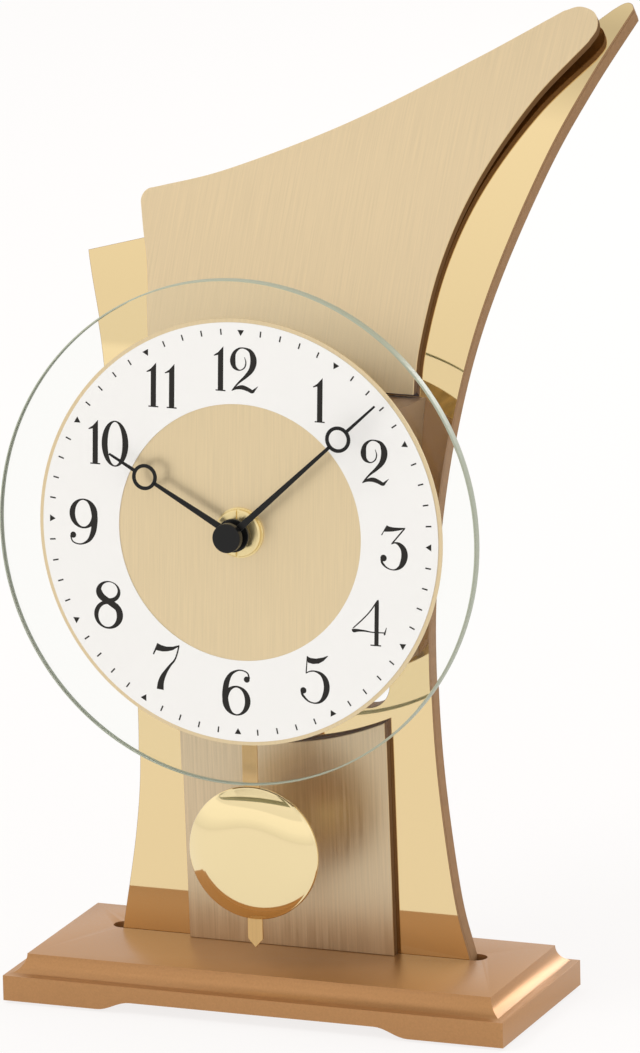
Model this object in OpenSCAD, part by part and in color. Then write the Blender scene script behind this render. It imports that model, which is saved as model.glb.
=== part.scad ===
// Desk pendulum clock: a moulded base carries a bent back board with a gold mirror face.
// A box on the board holds the quartz movement, a glass disc with its dial, and a pendulum.
// +Z is up, +X is to the right of someone facing the dial, and the dial looks towards -Y.
// The origin is on the table, under the middle of the whole clock.

/* [Base] */
// Width of the base
base_w = 180; // [160:1:230]
// Depth of the base
base_d = 75; // [66:1:110]
// Height of the base's top above the table
base_top = 15.6; // [14:0.2:24]
// Radius of the cove round the top edge
cove_r = 6.5; // [3:0.25:8]
// Width of each foot beside the arch
foot_w = 34; // [26:1:44]
// Height of the arch under the base
arch_h = 3.2; // [1.5:0.1:4]
// Length of each curved end of the arch
arch_run = 12; // [6:1:16]
// Radius of a felt pad
pad_r = 6; // [4:0.5:9]
// Thickness of a felt pad
pad_t = 1.4; // [1:0.1:2]
// How far a pad stands out of the base
pad_proud = 0.4; // [0.2:0.1:0.6]
// Depth of the slot that the back board stands in
slot_depth = 7; // [5:0.5:8]

/* [Back board] */
// Thickness of the board behind the mirror
board_t = 6; // [5:0.25:8]
// Thickness of the mirror face
mirror_t = 1; // [0.6:0.1:1.6]
// Forward lean of the board's foot, in degrees
foot_lean = 2.35; // [0:0.05:4]
// Length of the straight foot above the base
straight_run = 115; // [95:1:125]
// Radius of the lower bend
low_bend_r = 210; // [190:5:260]
// Length of the lower bend
low_bend_run = 110; // [90:1:125]
// Radius of the upper bend
up_bend_r = 337; // [300:1:420]
// Width of the window for the battery and the setting knob
window_w = 76; // [66:1:80]
// Height of the window's lower edge
window_low = 106; // [98:0.5:108]
// Height of the window's upper edge
window_high = 198; // [190:1:202]
// Radius of the window's corners
window_r = 12; // [4:0.5:16]

/* [Front panels] */
// Thickness of a panel's board
panel_t = 2.9; // [2:0.1:4]
// Thickness of a panel's brushed metal skin
skin_t = 0.6; // [0.4:0.1:1]
// Radius of the upper panel where it leaves the mirror
panel_bend_r = 418; // [380:1:480]
// Width of the lower panel
low_panel_w = 74; // [60:1:90]
// Height of the lower panel's hollow above the table
low_panel_top = 87.8; // [80:0.2:92]
// Radius of the hollow in the lower panel's top edge
low_panel_r = 113; // [90:1:160]
// Shift of that hollow to the left of the panel's centre line
low_panel_shift = 10; // [0:1:14]

/* [Movement box] */
// Width of the box
box_w = 100; // [92:1:104]
// Height of the box above the dial's centre
box_up = 42.5; // [41:0.5:45]
// Height of the box below the dial's centre
box_down = 43.8; // [42:0.2:46]
// Thickness of the box's sides
box_side_t = 6; // [5:0.5:7]
// Thickness of the box's floor and roof
box_wall_t = 4; // [3:0.5:5]
// Thickness of the box's front board
box_front_t = 3; // [2:0.5:3]

/* [Dial] */
// Height of the dial's centre
dial_z = 168.9; // [166:0.1:172]
// Place of the dial's front, front to back
dial_y = -60.3; // [-62:0.1:-59]
// Backward lean of the dial, in degrees
dial_lean = 4.6; // [3:0.1:5.5]
// Radius of the glass disc
glass_r = 85; // [80:0.5:90]
// How far left of the dial's centre the middle of the disc lies
glass_left = 1.8; // [0:0.1:3]
// How far below the dial's centre the middle of the disc lies
glass_down = 0.6; // [0:0.1:2]
// Thickness of the glass disc
glass_t = 4; // [3:0.5:4]
// Polished bevel on the glass edge
glass_bevel = 0.5; // [0.2:0.1:1]
// Radius of the gold dial plate
dial_r = 71.7; // [66:0.1:76]
// Thickness of the dial plate
dial_t = 0.6; // [0.4:0.1:1]
// Outer radius of the silver chapter ring
chapter_r = 70.4; // [64:0.1:71]
// Inner radius of the silver chapter ring
chapter_in_r = 43.1; // [38:0.1:48]
// Thickness of the chapter ring
chapter_t = 0.4; // [0.2:0.1:0.6]
// Radius of the brass nut at the centre
nut_r = 8.5; // [7:0.1:10]
// Thickness of the brass nut
nut_t = 2.3; // [1.5:0.1:2.5]

/* [Hands] */
// Length of the hour hand from its centre
hour_len = 50.7; // [44:0.1:56]
// Distance of the hour hand's ring from its centre
hour_ring_at = 36.2; // [30:0.1:39]
// Angle of the hour hand, clockwise from twelve
hour_angle = 298.6; // [0:0.1:360]
// Length of the minute hand from its centre
minute_len = 69.5; // [60:0.1:74]
// Distance of the minute hand's ring from its centre
minute_ring_at = 52; // [44:0.1:56]
// Angle of the minute hand, clockwise from twelve
minute_angle = 47.1; // [0:0.1:360]
// Outer radius of the ring in a hand
ring_r = 4.4; // [3.5:0.1:5.5]
// Width of a hand at its centre
hand_w = 2; // [1.4:0.1:3]
// Thickness of a hand
hand_t = 0.6; // [0.4:0.1:0.8]
// Radius of the black cap
cap_r = 4.9; // [4:0.1:6]
// Height of the black cap
cap_h = 2.6; // [2:0.1:4]

/* [Pendulum] */
// Height of the pivot
pivot_z = 135.5; // [134:0.1:136]
// Place of the rod's middle, front to back
rod_y = -54.4; // [-54.6:0.1:-54.2]
// Width of the rod
rod_w = 5.4; // [4:0.2:6]
// Thickness of the rod
rod_t = 0.8; // [0.6:0.1:1]
// Height of the rod's pointed end
rod_end_z = 23.9; // [19:0.1:27]
// Height of the bob's centre
bob_z = 56.8; // [52:0.1:58]
// Radius of the bob
bob_r = 23; // [18:0.25:25]
// Height of the bob's crown
bob_crown = 3.6; // [2:0.1:5]
// Thickness of the bob's pressed shell
shell_t = 0.6; // [0.4:0.1:0.9]
// Radius of the pivot pin
pivot_r = 1; // [0.8:0.1:1.2]

/* [Movement] */
// Width and height of the movement's case
case_w = 56; // [55:0.5:58]
// Depth of the movement's case
case_d = 18; // [17.5:0.5:20]
// Wall of the movement's case
case_t = 1.2; // [1:0.1:1.5]
// Tooth size of the hand-setting gears, as pitch diameter over teeth
set_module = 0.5; // [0.46:0.01:0.5]
// Tooth size of the time train's gears
time_module = 0.3; // [0.28:0.01:0.3]
// Radius of the threaded bush
bush_r = 3.95; // [3.5:0.05:4.2]
// Radius of the setting knob
knob_r = 6; // [5:0.25:7]
// Radius of the battery
battery_r = 7.15; // [6.9:0.05:7.2]
// Length of the battery with its cap
battery_len = 50.4; // [49:0.1:50.6]

/* [Hidden] */
$fn = 48;

run_gap = 0.05;      // round a shaft in its bore
fit_gap = 0.1;       // between pieces that are put together and stay so
slot_gap = 0.25;     // round the board in its slot
seat_gap = 0.3;      // under a piece that stands on another

base_x = -2;
base_y = -28;
board_x = -3;
dial_x = -4;
base_bottom = pad_proud;
mirror_y = -21.4;    // front of the mirror where it meets the base's top

gold = [0.86, 0.72, 0.42];
bronze = [0.62, 0.47, 0.3];
edge_brown = [0.4, 0.28, 0.2];
champagne = [0.86, 0.76, 0.6];
silver = [0.88, 0.88, 0.87];
brass = [0.85, 0.74, 0.45];
black = [0.08, 0.08, 0.08];
white_plastic = [0.9, 0.9, 0.88];
steel = [0.7, 0.7, 0.72];
copper = [0.72, 0.42, 0.25];

// The board's side view: a straight foot, then two tangent arcs. s is the way along the
// mirror's front face from the base's top, and off is the way in front of that face.
low_end = straight_run + low_bend_run;
function bend(s, r_up) = s <= straight_run ? -foot_lean
    : s <= low_end ? -foot_lean + (s - straight_run) / low_bend_r * 180 / PI
    : -foot_lean + (low_bend_run / low_bend_r + (s - low_end) / r_up) * 180 / PI;
function facing(a) = [-cos(a), sin(a)];
foot_point = [mirror_y, base_top];
low_start_point = foot_point + straight_run * [-sin(foot_lean), cos(foot_lean)];
low_centre = low_start_point - low_bend_r * facing(-foot_lean);
low_end_point = low_centre + low_bend_r * facing(bend(low_end, up_bend_r));
function face_point(s, r_up) = s <= straight_run
    ? foot_point + s * [-sin(foot_lean), cos(foot_lean)]
    : s <= low_end ? low_centre + low_bend_r * facing(bend(s, r_up))
    : low_end_point + r_up * (facing(bend(s, r_up)) - facing(bend(low_end, r_up)));
function sheet_point(s, off, r_up) = face_point(s, r_up) + off * facing(bend(s, r_up));

board_run = 352;     // past the tip, where the outline cuts the sheet off
board_split = 35;    // below the end of the low bend, behind the upper panel
panel_start = 60;    // below the end of the low bend, where the upper panel's sheet starts
bend_step = 7;
function stations(s0, s1) = [for (s = concat([s0],
    [for (k = [0:ceil(low_bend_run / bend_step)]) straight_run + k * low_bend_run
        / ceil(low_bend_run / bend_step)],
    [for (k = [1:ceil((board_run - low_end) / bend_step)]) low_end + k * bend_step], [s1]))
    if (s >= s0 && s <= s1 && !(s != s0 && s - s0 < 1) && !(s != s1 && s1 - s < 1)) s];

// A bent sheet between two offsets, cut to an outline in the front view.
module bent_sheet(s0, s1, front, back, r_up, wide = 260) {
    at = stations(s0, s1);
    rotate([90, 0, 90]) translate([0, 0, -wide / 2]) linear_extrude(wide)
        polygon(concat([for (s = at) sheet_point(s, front, r_up)],
            [for (i = [len(at) - 1:-1:0]) sheet_point(at[i], back, r_up)]));
}
module front_view(points, y_from = -90, y_to = 110) {
    translate([board_x, y_to, 0]) rotate([90, 0, 0]) linear_extrude(y_to - y_from)
        polygon(points);
}
// How far forward a bent face lies at a height.
function front_y(z, off, r_up) = let (a = -foot_lean, b = bend(low_end, r_up),
    up_centre = low_end_point - r_up * facing(b))
    z <= low_start_point[1] + off * sin(a)
    ? mirror_y - off * cos(a) - (z - base_top - off * sin(a)) * tan(foot_lean)
    : z <= low_end_point[1] + off * sin(b)
    ? low_centre[0] - sqrt(pow(low_bend_r + off, 2) - pow(z - low_centre[1], 2))
    : up_centre[0] - sqrt(pow(r_up + off, 2) - pow(z - up_centre[1], 2));
// Cuts to an outline that is drawn on a bent front face. Above s_split the cut edges are
// square to the sheet's slope, and below it they run straight back.
cut_lean = 38;
cut_reach = 600;     // well past the whole clock, each way
split_lap = 0.5;     // by which the two halves of a cut overlap
module beyond(s, r_up, side) {
    p = face_point(s, r_up);
    translate([0, p[0], p[1]]) rotate([-bend(s, r_up), 0, 0])
        translate([-cut_reach, -cut_reach, side < 0 ? -cut_reach : -split_lap])
        cube([2 * cut_reach, 2 * cut_reach, cut_reach + split_lap]);
}
module outline_cut(points, off, r_up, s_split) {
    intersection() {
        front_view(points);
        beyond(s_split, r_up, -1);
    }
    intersection() {
        rotate([90 - cut_lean, 0, 0]) translate([board_x, 0, -cut_reach / 2])
            linear_extrude(cut_reach) polygon([for (q = points) [q[0], q[1] * cos(cut_lean)
                + front_y(q[1], off, r_up) * sin(cut_lean)]]);
        beyond(s_split, r_up, 1);
    }
}
// Stands its children on the mirror's front face, at x and s, with +Z out of the face.
module on_sheet(x, s, r_up = up_bend_r) {
    p = face_point(s, r_up);
    translate([x, p[0], p[1]]) rotate([90 - bend(s, r_up), 0, 0]) children();
}
// Stands its children at the dial's centre, with +Z out of the dial and +Y up along it.
module on_dial() {
    translate([dial_x, dial_y, dial_z]) rotate([90 - dial_lean, 0, 0]) children();
}

// A smooth curve through points, with the last point left to the next curve.
function between(a, b, c, d, t) = 0.5 * (2 * b + (c - a) * t
    + (2 * a - 5 * b + 4 * c - d) * t * t + (3 * b - a - 3 * c + d) * t * t * t);
function curve(p, steps = 5) = [for (i = [0:len(p) - 2]) for (k = [0:steps - 1])
    between(i == 0 ? 2 * p[0] - p[1] : p[i - 1], p[i], p[i + 1],
        i == len(p) - 2 ? 2 * p[i + 1] - p[i] : p[i + 2], k / steps)];
function arc(c, r, a0, a1, n = 8) = [for (k = [0:n]) c + r * [cos(a0 + (a1 - a0) * k / n),
    sin(a0 + (a1 - a0) * k / n)]];
function rounded_rect(x0, x1, y0, y1, r) = concat(arc([x1 - r, y0 + r], r, -90, 0, 6),
    arc([x1 - r, y1 - r], r, 0, 90, 6), arc([x0 + r, y1 - r], r, 90, 180, 6),
    arc([x0 + r, y0 + r], r, 180, 270, 6));

// Outlines in the front view: across from the board's centre line, and up from the table.
foot_z = base_top - slot_depth;
board_right = [[63, base_top], [58.2, 37], [53.8, 78], [52.6, 115], [54, 150],
    [58.7, 200], [65.1, 239], [76.2, 279.5], [85.3, 304], [94.9, 325.7]];
board_top = [[94.9, 325.7], [93.8, 327.1], [91.6, 327.4], [88.6, 325.9], [84.2, 322.6],
    [63.6, 306.5], [25.7, 283.5], [-13.6, 264.5], [-47.8, 254], [-79.2, 245.9]];
board_left = [[-79.2, 245.9], [-67.2, 211], [-58.7, 160], [-54, 113], [-54, 78],
    [-56.6, 51], [-63, base_top]];
board_outline = concat([[63, foot_z]], curve(board_right), curve(board_top, 3),
    curve(board_left), [[-63, base_top], [-63, foot_z]]);
foot_x = 63;

corner_r = 3.6;      // round corner at the upper panel's top left
panel_left_x = -49.2;
panel_right_x = 45.7;
panel_front_y = face_point(low_end - 30, up_bend_r)[0] - panel_t - skin_t;
panel_foot_z = box_roof_z(panel_front_y) + seat_gap;
panel_left = [[-59.2, 254.1], [-55.6, 243.1], [-51.6, 224.3], [panel_left_x, panel_foot_z]];
panel_right = [[panel_right_x, panel_foot_z], [45.5, 224], [48.7, 250.4], [56.2, 274.5],
    [69.5, 299], [84.6, 317.6]];
panel_tip = [[84.6, 317.6], [86.5, 321.8], [84.4, 325.9], [78.7, 327.4], [73.4, 325.9]];
panel_top = [[73.4, 325.9], [44.7, 309.7], [6.2, 289.7], [-32.6, 274], [-58.4, 266.9]];
panel_outline = concat(curve(panel_right), curve(panel_tip, 3), curve(panel_top, 4),
    arc([-58.4, 266.9 - corner_r], corner_r, 95, 195, 5), curve(panel_left, 4),
    [[panel_left_x, panel_foot_z]]);

low_half = low_panel_w / 2;
low_hollow_z = low_panel_top + low_panel_r;
low_foot_z = base_top + 0.05;
function hollow_angle(x) = -90 + asin((x + low_panel_shift) / low_panel_r);
low_outline = concat([[-low_half, low_foot_z], [low_half, low_foot_z]],
    arc([-low_panel_shift, low_hollow_z], low_panel_r, hollow_angle(low_half),
        hollow_angle(-low_half), 12));

// The box leans with the dial. These are heights and depths in the dial's own frame.
front_z = -chapter_t - dial_t - glass_t;          // back of the glass
box_front_z = front_z - box_front_t;              // back of the front board
washer_t = 0.8;
case_z = box_front_z - washer_t;                  // front of the movement's case
case_back_z = case_z - case_d;
function box_roof_z(y) = dial_z + (box_up - (y - dial_y) * sin(dial_lean)) / cos(dial_lean);
box_half = box_w / 2;
box_back_z = -60;                                 // past the mirror, which cuts the box

pad_inset_x = 15;
pad_inset_y = 15;
pad_places = [for (i = [-1, 1]) for (j = [-1, 1]) [base_x + i * (base_w / 2 - pad_inset_x),
    base_y + j * (base_d / 2 - pad_inset_y)]];
arch_half = base_w / 2 - foot_w;
arch_points = concat([for (k = [0:8]) [-arch_half + arch_run * k / 8,
    arch_h * (1 - cos(180 * k / 8)) / 2]], [for (k = [8:-1:0]) [arch_half - arch_run * k / 8,
    arch_h * (1 - cos(180 * k / 8)) / 2]]);

screw_r = 1.5;
screw_head_r = 2.9;
screw_head_t = 1.6;
base_screw_r = 1.75;
base_screw_x = 36;
base_screw_len = 18;
base_head_r = 3.4;
base_head_t = 2;
base_head_z = base_bottom + arch_h;               // the roof of the arch
board_mid_y = mirror_y + (mirror_t + board_t / 2) + (slot_depth - 2) * sin(foot_lean);

// Places of the panels' screws: across from the board's centre line, and along the sheet.
upper_screws = [[-32, low_end - 12], [26, low_end - 12], [22, low_end + 40]];
lower_screws = [[-22, 22], [22, 22], [-22, 55], [22, 55]];
box_screw_heights = [-26, 26];
box_screw_x = box_half - box_side_t / 2;

module wood_screw(len, r = screw_r, head_r = screw_head_r, head_t = screw_head_t) {
    cylinder(h = head_t, r1 = head_r, r2 = r);
    cylinder(h = len - r, r = r);
    translate([0, 0, len - r]) cylinder(h = r, r1 = r, r2 = 0.3);
}
module screw_hole(len, gap = fit_gap, r = screw_r, head_r = screw_head_r, head_t = screw_head_t) {
    translate([0, 0, -1]) cylinder(h = 1.01, r = head_r + gap);
    cylinder(h = head_t, r1 = head_r + gap, r2 = r + gap);
    cylinder(h = len + gap, r = r + gap);
}
module at_upper_screws() {
    for (p = upper_screws) on_sheet(board_x + p[0], p[1])
        translate([0, 0, -mirror_t - board_t]) children();
}
module at_lower_screws() {
    for (p = lower_screws) on_sheet(board_x + p[0], p[1])
        translate([0, 0, -mirror_t - board_t]) children();
}
// A screw through the board into a side of the box: it starts at the back of the board.
function sheet_s(z) = straight_run + low_bend_r * (foot_lean + asin((z - low_centre[1])
    / low_bend_r)) * PI / 180;
function screw_s(z) = z < low_start_point[1] ? (z - base_top) / cos(foot_lean) : sheet_s(z);
module at_box_screws() {
    for (i = [-1, 1]) for (h = box_screw_heights)
        on_sheet(dial_x + i * box_screw_x, screw_s(dial_z + h - 2))
            translate([0, 0, -mirror_t - board_t]) children();
}
module at_base_screws() {
    for (i = [-1, 1]) translate([board_x + i * base_screw_x, board_mid_y, base_head_z])
        children();
}
upper_screw_len = mirror_t + board_t + 2.2;
box_screw_len = mirror_t + board_t + 10;

module base_plinth() color(bronze) difference() {
    translate([base_x - base_w / 2, base_y - base_d / 2, base_bottom])
        cube([base_w, base_d, base_top - base_bottom]);
    for (j = [-1, 1]) translate([base_x - base_w / 2 - 1, base_y + j * base_d / 2, base_top])
        rotate([0, 90, 0]) cylinder(h = base_w + 2, r = cove_r);
    for (i = [-1, 1]) translate([base_x + i * base_w / 2, base_y - base_d / 2 - 1, base_top])
        rotate([-90, 0, 0]) cylinder(h = base_d + 2, r = cove_r);
    translate([base_x, base_y + base_d / 2 + 1, base_bottom]) rotate([90, 0, 0])
        linear_extrude(base_d + 2)
        polygon(concat([[-arch_half, -1]], arch_points, [[arch_half, -1]]));
    for (p = pad_places) translate([p[0], p[1], base_bottom - 1])
        cylinder(h = pad_t - pad_proud + 1, r = pad_r + 0.2);
    board_slot();
    at_base_screws() screw_hole(base_screw_len, 0.2, base_screw_r, base_head_r, base_head_t);
}
// A milled slot with round ends, which leans with the board's foot.
module board_slot() {
    wide = board_t + mirror_t + 2 * slot_gap;
    translate([board_x, mirror_y + (board_t + mirror_t) / 2, base_top])
        rotate([foot_lean, 0, 0]) translate([0, 0, -slot_depth - 0.2]) {
            translate([-foot_x - 1, -wide / 2, 0]) cube([2 * foot_x + 2, wide, slot_depth + 3]);
            for (i = [-1, 1]) translate([i * (foot_x + 1), 0, 0])
                cylinder(h = slot_depth + 3, r = wide / 2 - 0.01);
        }
}
module felt_pads() color("dimgray") for (p = pad_places) translate([p[0], p[1], 0])
    cylinder(h = pad_t, r = pad_r);

module window_cut() {
    x = dial_x - board_x;
    front_view(rounded_rect(x - window_w / 2, x + window_w / 2, window_low, window_high,
        window_r));
}
module back_board() color(edge_brown) difference() {
    intersection() {
        bent_sheet(-slot_depth, board_run, -mirror_t, -mirror_t - board_t, up_bend_r);
        outline_cut(board_outline, 0, up_bend_r, low_end - board_split);
    }
    window_cut();
    at_upper_screws() screw_hole(upper_screw_len);
    at_lower_screws() screw_hole(upper_screw_len);
    at_box_screws() screw_hole(box_screw_len);
    at_base_screws() screw_hole(base_screw_len, fit_gap, base_screw_r, 0.1, 0.1);
}
module back_mirror() color(gold) difference() {
    intersection() {
        bent_sheet(-slot_depth, board_run, 0, -mirror_t, up_bend_r);
        outline_cut(board_outline, 0, up_bend_r, low_end - board_split);
    }
    window_cut();
    at_upper_screws() screw_hole(upper_screw_len);
    at_lower_screws() screw_hole(upper_screw_len);
    at_box_screws() screw_hole(box_screw_len);
}
module board_screws() color(steel) at_base_screws()
    wood_screw(base_screw_len, base_screw_r, base_head_r, base_head_t);

module upper_board() color(edge_brown) difference() {
    intersection() {
        bent_sheet(low_end - panel_start, board_run, panel_t + 0.05, 0.05, panel_bend_r);
        outline_cut(panel_outline, panel_t + skin_t, panel_bend_r, low_end - 4);
    }
    at_upper_screws() screw_hole(upper_screw_len);
}
module upper_skin() color(champagne) intersection() {
    bent_sheet(low_end - panel_start, board_run, panel_t + skin_t + 0.05, panel_t + 0.05, panel_bend_r);
    outline_cut(panel_outline, panel_t + skin_t, panel_bend_r, low_end - 4);
}
module lower_board() color(edge_brown) difference() {
    intersection() {
        bent_sheet(-1, straight_run, panel_t + 0.05, 0.05, up_bend_r);
        front_view(low_outline);
    }
    at_lower_screws() screw_hole(upper_screw_len);
}
module lower_skin() color(bronze) intersection() {
    bent_sheet(-1, straight_run, panel_t + skin_t + 0.05, panel_t + 0.05, up_bend_r);
    front_view(low_outline);
}
module panel_screws() color(steel) {
    at_upper_screws() wood_screw(upper_screw_len);
    at_lower_screws() wood_screw(upper_screw_len);
}

// The rod, its leader and the drive pass through the notch in the floor.
notch_w = 38;
notch_back_z = -26;
module box_frame() color(bronze) difference() {
    on_dial() difference() {
        translate([-box_half, -box_down, box_back_z])
            cube([box_w, box_up + box_down, box_front_z - box_back_z]);
        translate([-box_half + box_side_t, -box_down + box_wall_t, box_back_z - 1])
            cube([box_w - 2 * box_side_t, box_up + box_down - 2 * box_wall_t,
                box_front_z - box_back_z + 2]);
        translate([-notch_w / 2, -box_down - 1, notch_back_z])
            cube([notch_w, box_wall_t + 2, box_front_z - notch_back_z + 1]);
    }
    bent_sheet(-5, board_run, 0.05, -80, up_bend_r);
    at_box_screws() screw_hole(box_screw_len);
}
module box_front() color(bronze) on_dial() difference() {
    translate([-box_half, -box_down, box_front_z]) cube([box_w, box_up + box_down, box_front_t]);
    translate([0, 0, box_front_z - 1]) cylinder(h = box_front_t + 2, r = bush_r + fit_gap);
}
module box_screws() color(steel) at_box_screws() wood_screw(box_screw_len);

module glass_disc() color([0.8, 0.92, 0.88, 0.4]) on_dial() difference() {
    translate([-glass_left, -glass_down, front_z]) {
        cylinder(h = glass_bevel, r1 = glass_r - glass_bevel, r2 = glass_r, $fn = 128);
        translate([0, 0, glass_bevel]) cylinder(h = glass_t - 2 * glass_bevel, r = glass_r,
            $fn = 128);
        translate([0, 0, glass_t - glass_bevel])
            cylinder(h = glass_bevel, r1 = glass_r, r2 = glass_r - glass_bevel, $fn = 128);
    }
    translate([0, 0, front_z - 1]) cylinder(h = glass_t + 2, r = bush_r + fit_gap);
}
module dial_plate() color(gold) on_dial() difference() {
    translate([0, 0, -chapter_t - dial_t]) cylinder(h = dial_t, r = dial_r, $fn = 128);
    translate([0, 0, -5]) cylinder(h = 10, r = bush_r + fit_gap);
}
module chapter_ring() color(silver) on_dial() difference() {
    translate([0, 0, -chapter_t]) cylinder(h = chapter_t, r = chapter_r, $fn = 128);
    translate([0, 0, -5]) cylinder(h = 10, r = chapter_in_r, $fn = 128);
}
// A round nut with a base flange, a crowned ring and two spanner slots.
module hub_nut() color(brass) on_dial() translate([0, 0, -chapter_t]) difference() {
    union() {
        cylinder(h = 0.5, r = nut_r);
        translate([0, 0, 0.5]) cylinder(h = nut_t - 1, r = nut_r - 0.5);
        translate([0, 0, nut_t - 0.5]) cylinder(h = 0.5, r1 = nut_r - 0.5, r2 = nut_r - 1);
    }
    translate([0, 0, -1]) cylinder(h = nut_t + 2, r = bush_r + run_gap);
    for (a = [0, 180]) rotate([0, 0, a]) translate([-0.5, bush_r + 0.6, nut_t - 0.9])
        cube([1, nut_r, 1]);
}
module rubber_washer() color(black) on_dial() translate([0, 0, case_z]) difference() {
    cylinder(h = washer_t, r = 9);
    translate([0, 0, -1]) cylinder(h = washer_t + 2, r = bush_r + fit_gap);
}
bush_bore_r = 2.6;
module centre_bush() color(brass) on_dial() difference() {
    translate([0, 0, case_z]) cylinder(h = nut_t + 0.6 - case_z, r = bush_r);
    translate([0, 0, case_z - 1]) cylinder(h = 20, r = bush_bore_r);
}

// Gears. A tooth's centre is at the angle phase, and mesh() gives a driven gear's phase.
function mesh(phase, teeth, driven, toward) = toward + 180
    - (phase - toward) * teeth / driven + 180 / driven;
module gear(teeth, size, h, phase, bore = 0) {
    tip = size * (teeth / 2 + 0.8);
    root = size * (teeth / 2 - 1.1);
    half = 180 / teeth;
    rotate([0, 0, phase]) linear_extrude(h) difference() {
        polygon([for (i = [0:teeth - 1]) for (q = [[root, -0.52], [tip, -0.2], [tip, 0.2],
            [root, 0.52]]) q[0] * [cos(2 * half * i + half * q[1]),
            sin(2 * half * i + half * q[1])]]);
        if (bore > 0) circle(r = bore);
    }
}
function polar(r, a) = r * [cos(a), sin(a)];

cannon_teeth = 12;
minute_teeth = 36;
minute_pinion = 10;
hour_teeth = 40;
knob_teeth = 12;
rotor_pinion = 10;
step_teeth = 60;
step_pinion = 12;
second_teeth = 60;
second_pinion = 8;
third_teeth = 60;
third_pinion = 8;
centre_teeth = 64;

set_apart = set_module * (cannon_teeth + minute_teeth) / 2;
hour_module = 2 * set_apart / (minute_pinion + hour_teeth);
knob_apart = set_module * (minute_teeth + knob_teeth) / 2;
knob_way = 60;
third_way = 150;
second_way = 70;
step_way = -5;
rotor_way = 45;
minute_at = [set_apart, 0];
knob_at = minute_at + polar(knob_apart, knob_way);
third_at = polar(time_module * (centre_teeth + third_pinion) / 2, third_way);
second_at = third_at + polar(time_module * (third_teeth + second_pinion) / 2, second_way);
step_at = second_at + polar(time_module * (second_teeth + step_pinion) / 2, step_way);
rotor_at = step_at + polar(time_module * (step_teeth + rotor_pinion) / 2, rotor_way);

// Levels of the gears, back from the inside of the case's front wall.
case_in_z = case_z - case_t;
hour_level = case_in_z - 1.6;
minute_level = hour_level - 1.5;
centre_level = minute_level - 1.9;
third_level = centre_level - 1.4;
second_level = third_level - 1.3;
step_level = second_level - 1.3;
wheel_t = 0.8;
hub_over = 0.1;      // a pinion stands this far past the wheel that it drives
pin_r = 0.4;
set_pin_r = 0.7;
shaft_r = 1.5;
hour_pipe_r = bush_bore_r - run_gap - 0.03;
hour_hand_z = 5.2;
minute_hand_z = 8.5;
cap_z = 9.5;
shaft_top = cap_z + 1.2;
magnet_r = 2.4;
magnet_t = 2;

// A wheel with its pinion on the front side, running on a pin.
module wheel_and_pinion(at, teeth, wheel_phase, level, pinion, pinion_phase, pinion_level) {
    translate([at[0], at[1], 0]) difference() {
        union() {
            translate([0, 0, level]) gear(teeth, time_module, wheel_t, wheel_phase);
            translate([0, 0, pinion_level - hub_over])
                gear(pinion, time_module, wheel_t + 2 * hub_over, pinion_phase);
            translate([0, 0, level]) cylinder(h = pinion_level - level, r = pin_r + 0.45);
        }
        translate([0, 0, level - 1]) cylinder(h = 10, r = pin_r + run_gap);
    }
}
centre_phase = 0;
third_pinion_phase = mesh(centre_phase, centre_teeth, third_pinion, third_way);
third_phase = 0;
second_pinion_phase = mesh(third_phase, third_teeth, second_pinion, second_way);
second_phase = 0;
step_pinion_phase = mesh(second_phase, second_teeth, step_pinion, step_way);
step_phase = 0;
rotor_phase = mesh(step_phase, step_teeth, rotor_pinion, rotor_way);

module centre_wheel() color(white_plastic) on_dial() difference() {
    union() {
        translate([0, 0, centre_level]) gear(centre_teeth, time_module, wheel_t, centre_phase);
        translate([0, 0, centre_level]) cylinder(h = 1.1, r = 3);
    }
    translate([0, 0, centre_level - 1]) cylinder(h = 4, r = shaft_r + run_gap);
}
module third_wheel() color(white_plastic) on_dial() wheel_and_pinion(third_at, third_teeth,
    third_phase, third_level, third_pinion, third_pinion_phase, centre_level);
module second_wheel() color(white_plastic) on_dial() wheel_and_pinion(second_at,
    second_teeth, second_phase, second_level, second_pinion, second_pinion_phase, third_level);
module step_wheel() color(white_plastic) on_dial() wheel_and_pinion(step_at, step_teeth,
    step_phase, step_level, step_pinion, step_pinion_phase, second_level);
module step_rotor() color(black) on_dial() translate([rotor_at[0], rotor_at[1], 0])
    difference() {
        union() {
            translate([0, 0, step_level - hub_over])
                gear(rotor_pinion, time_module, wheel_t + 2 * hub_over, rotor_phase);
            translate([0, 0, step_level - 0.7]) cylinder(h = 0.7, r = pin_r + 0.5);
            translate([0, 0, step_level - 0.6 - magnet_t]) cylinder(h = magnet_t, r = magnet_r);
        }
        translate([0, 0, step_level - 5]) cylinder(h = 10, r = pin_r + run_gap);
    }
rear_pivot_r = 0.7;
module minute_shaft() color(steel) on_dial() {
    translate([0, 0, centre_level - 0.4])
        cylinder(h = shaft_top - centre_level + 0.4, r = shaft_r);
    translate([0, 0, minute_level - 0.1])
        gear(cannon_teeth, set_module, wheel_t + 0.2, 0);
    translate([0, 0, case_back_z + 0.2])
        cylinder(h = centre_level - case_back_z, r = rear_pivot_r);
}
minute_phase = mesh(0, cannon_teeth, minute_teeth, 0);
module minute_wheel() color(white_plastic) on_dial() translate([minute_at[0], minute_at[1], 0])
    difference() {
        union() {
            translate([0, 0, minute_level]) gear(minute_teeth, set_module, wheel_t, minute_phase);
            translate([0, 0, minute_level]) cylinder(h = hour_level - minute_level, r = 1.5);
            translate([0, 0, hour_level - 0.1])
                gear(minute_pinion, hour_module, wheel_t + 0.4, 0);
        }
        translate([0, 0, minute_level - 1]) cylinder(h = 6, r = set_pin_r + run_gap);
    }
hour_phase = mesh(0, minute_pinion, hour_teeth, 180);
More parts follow.
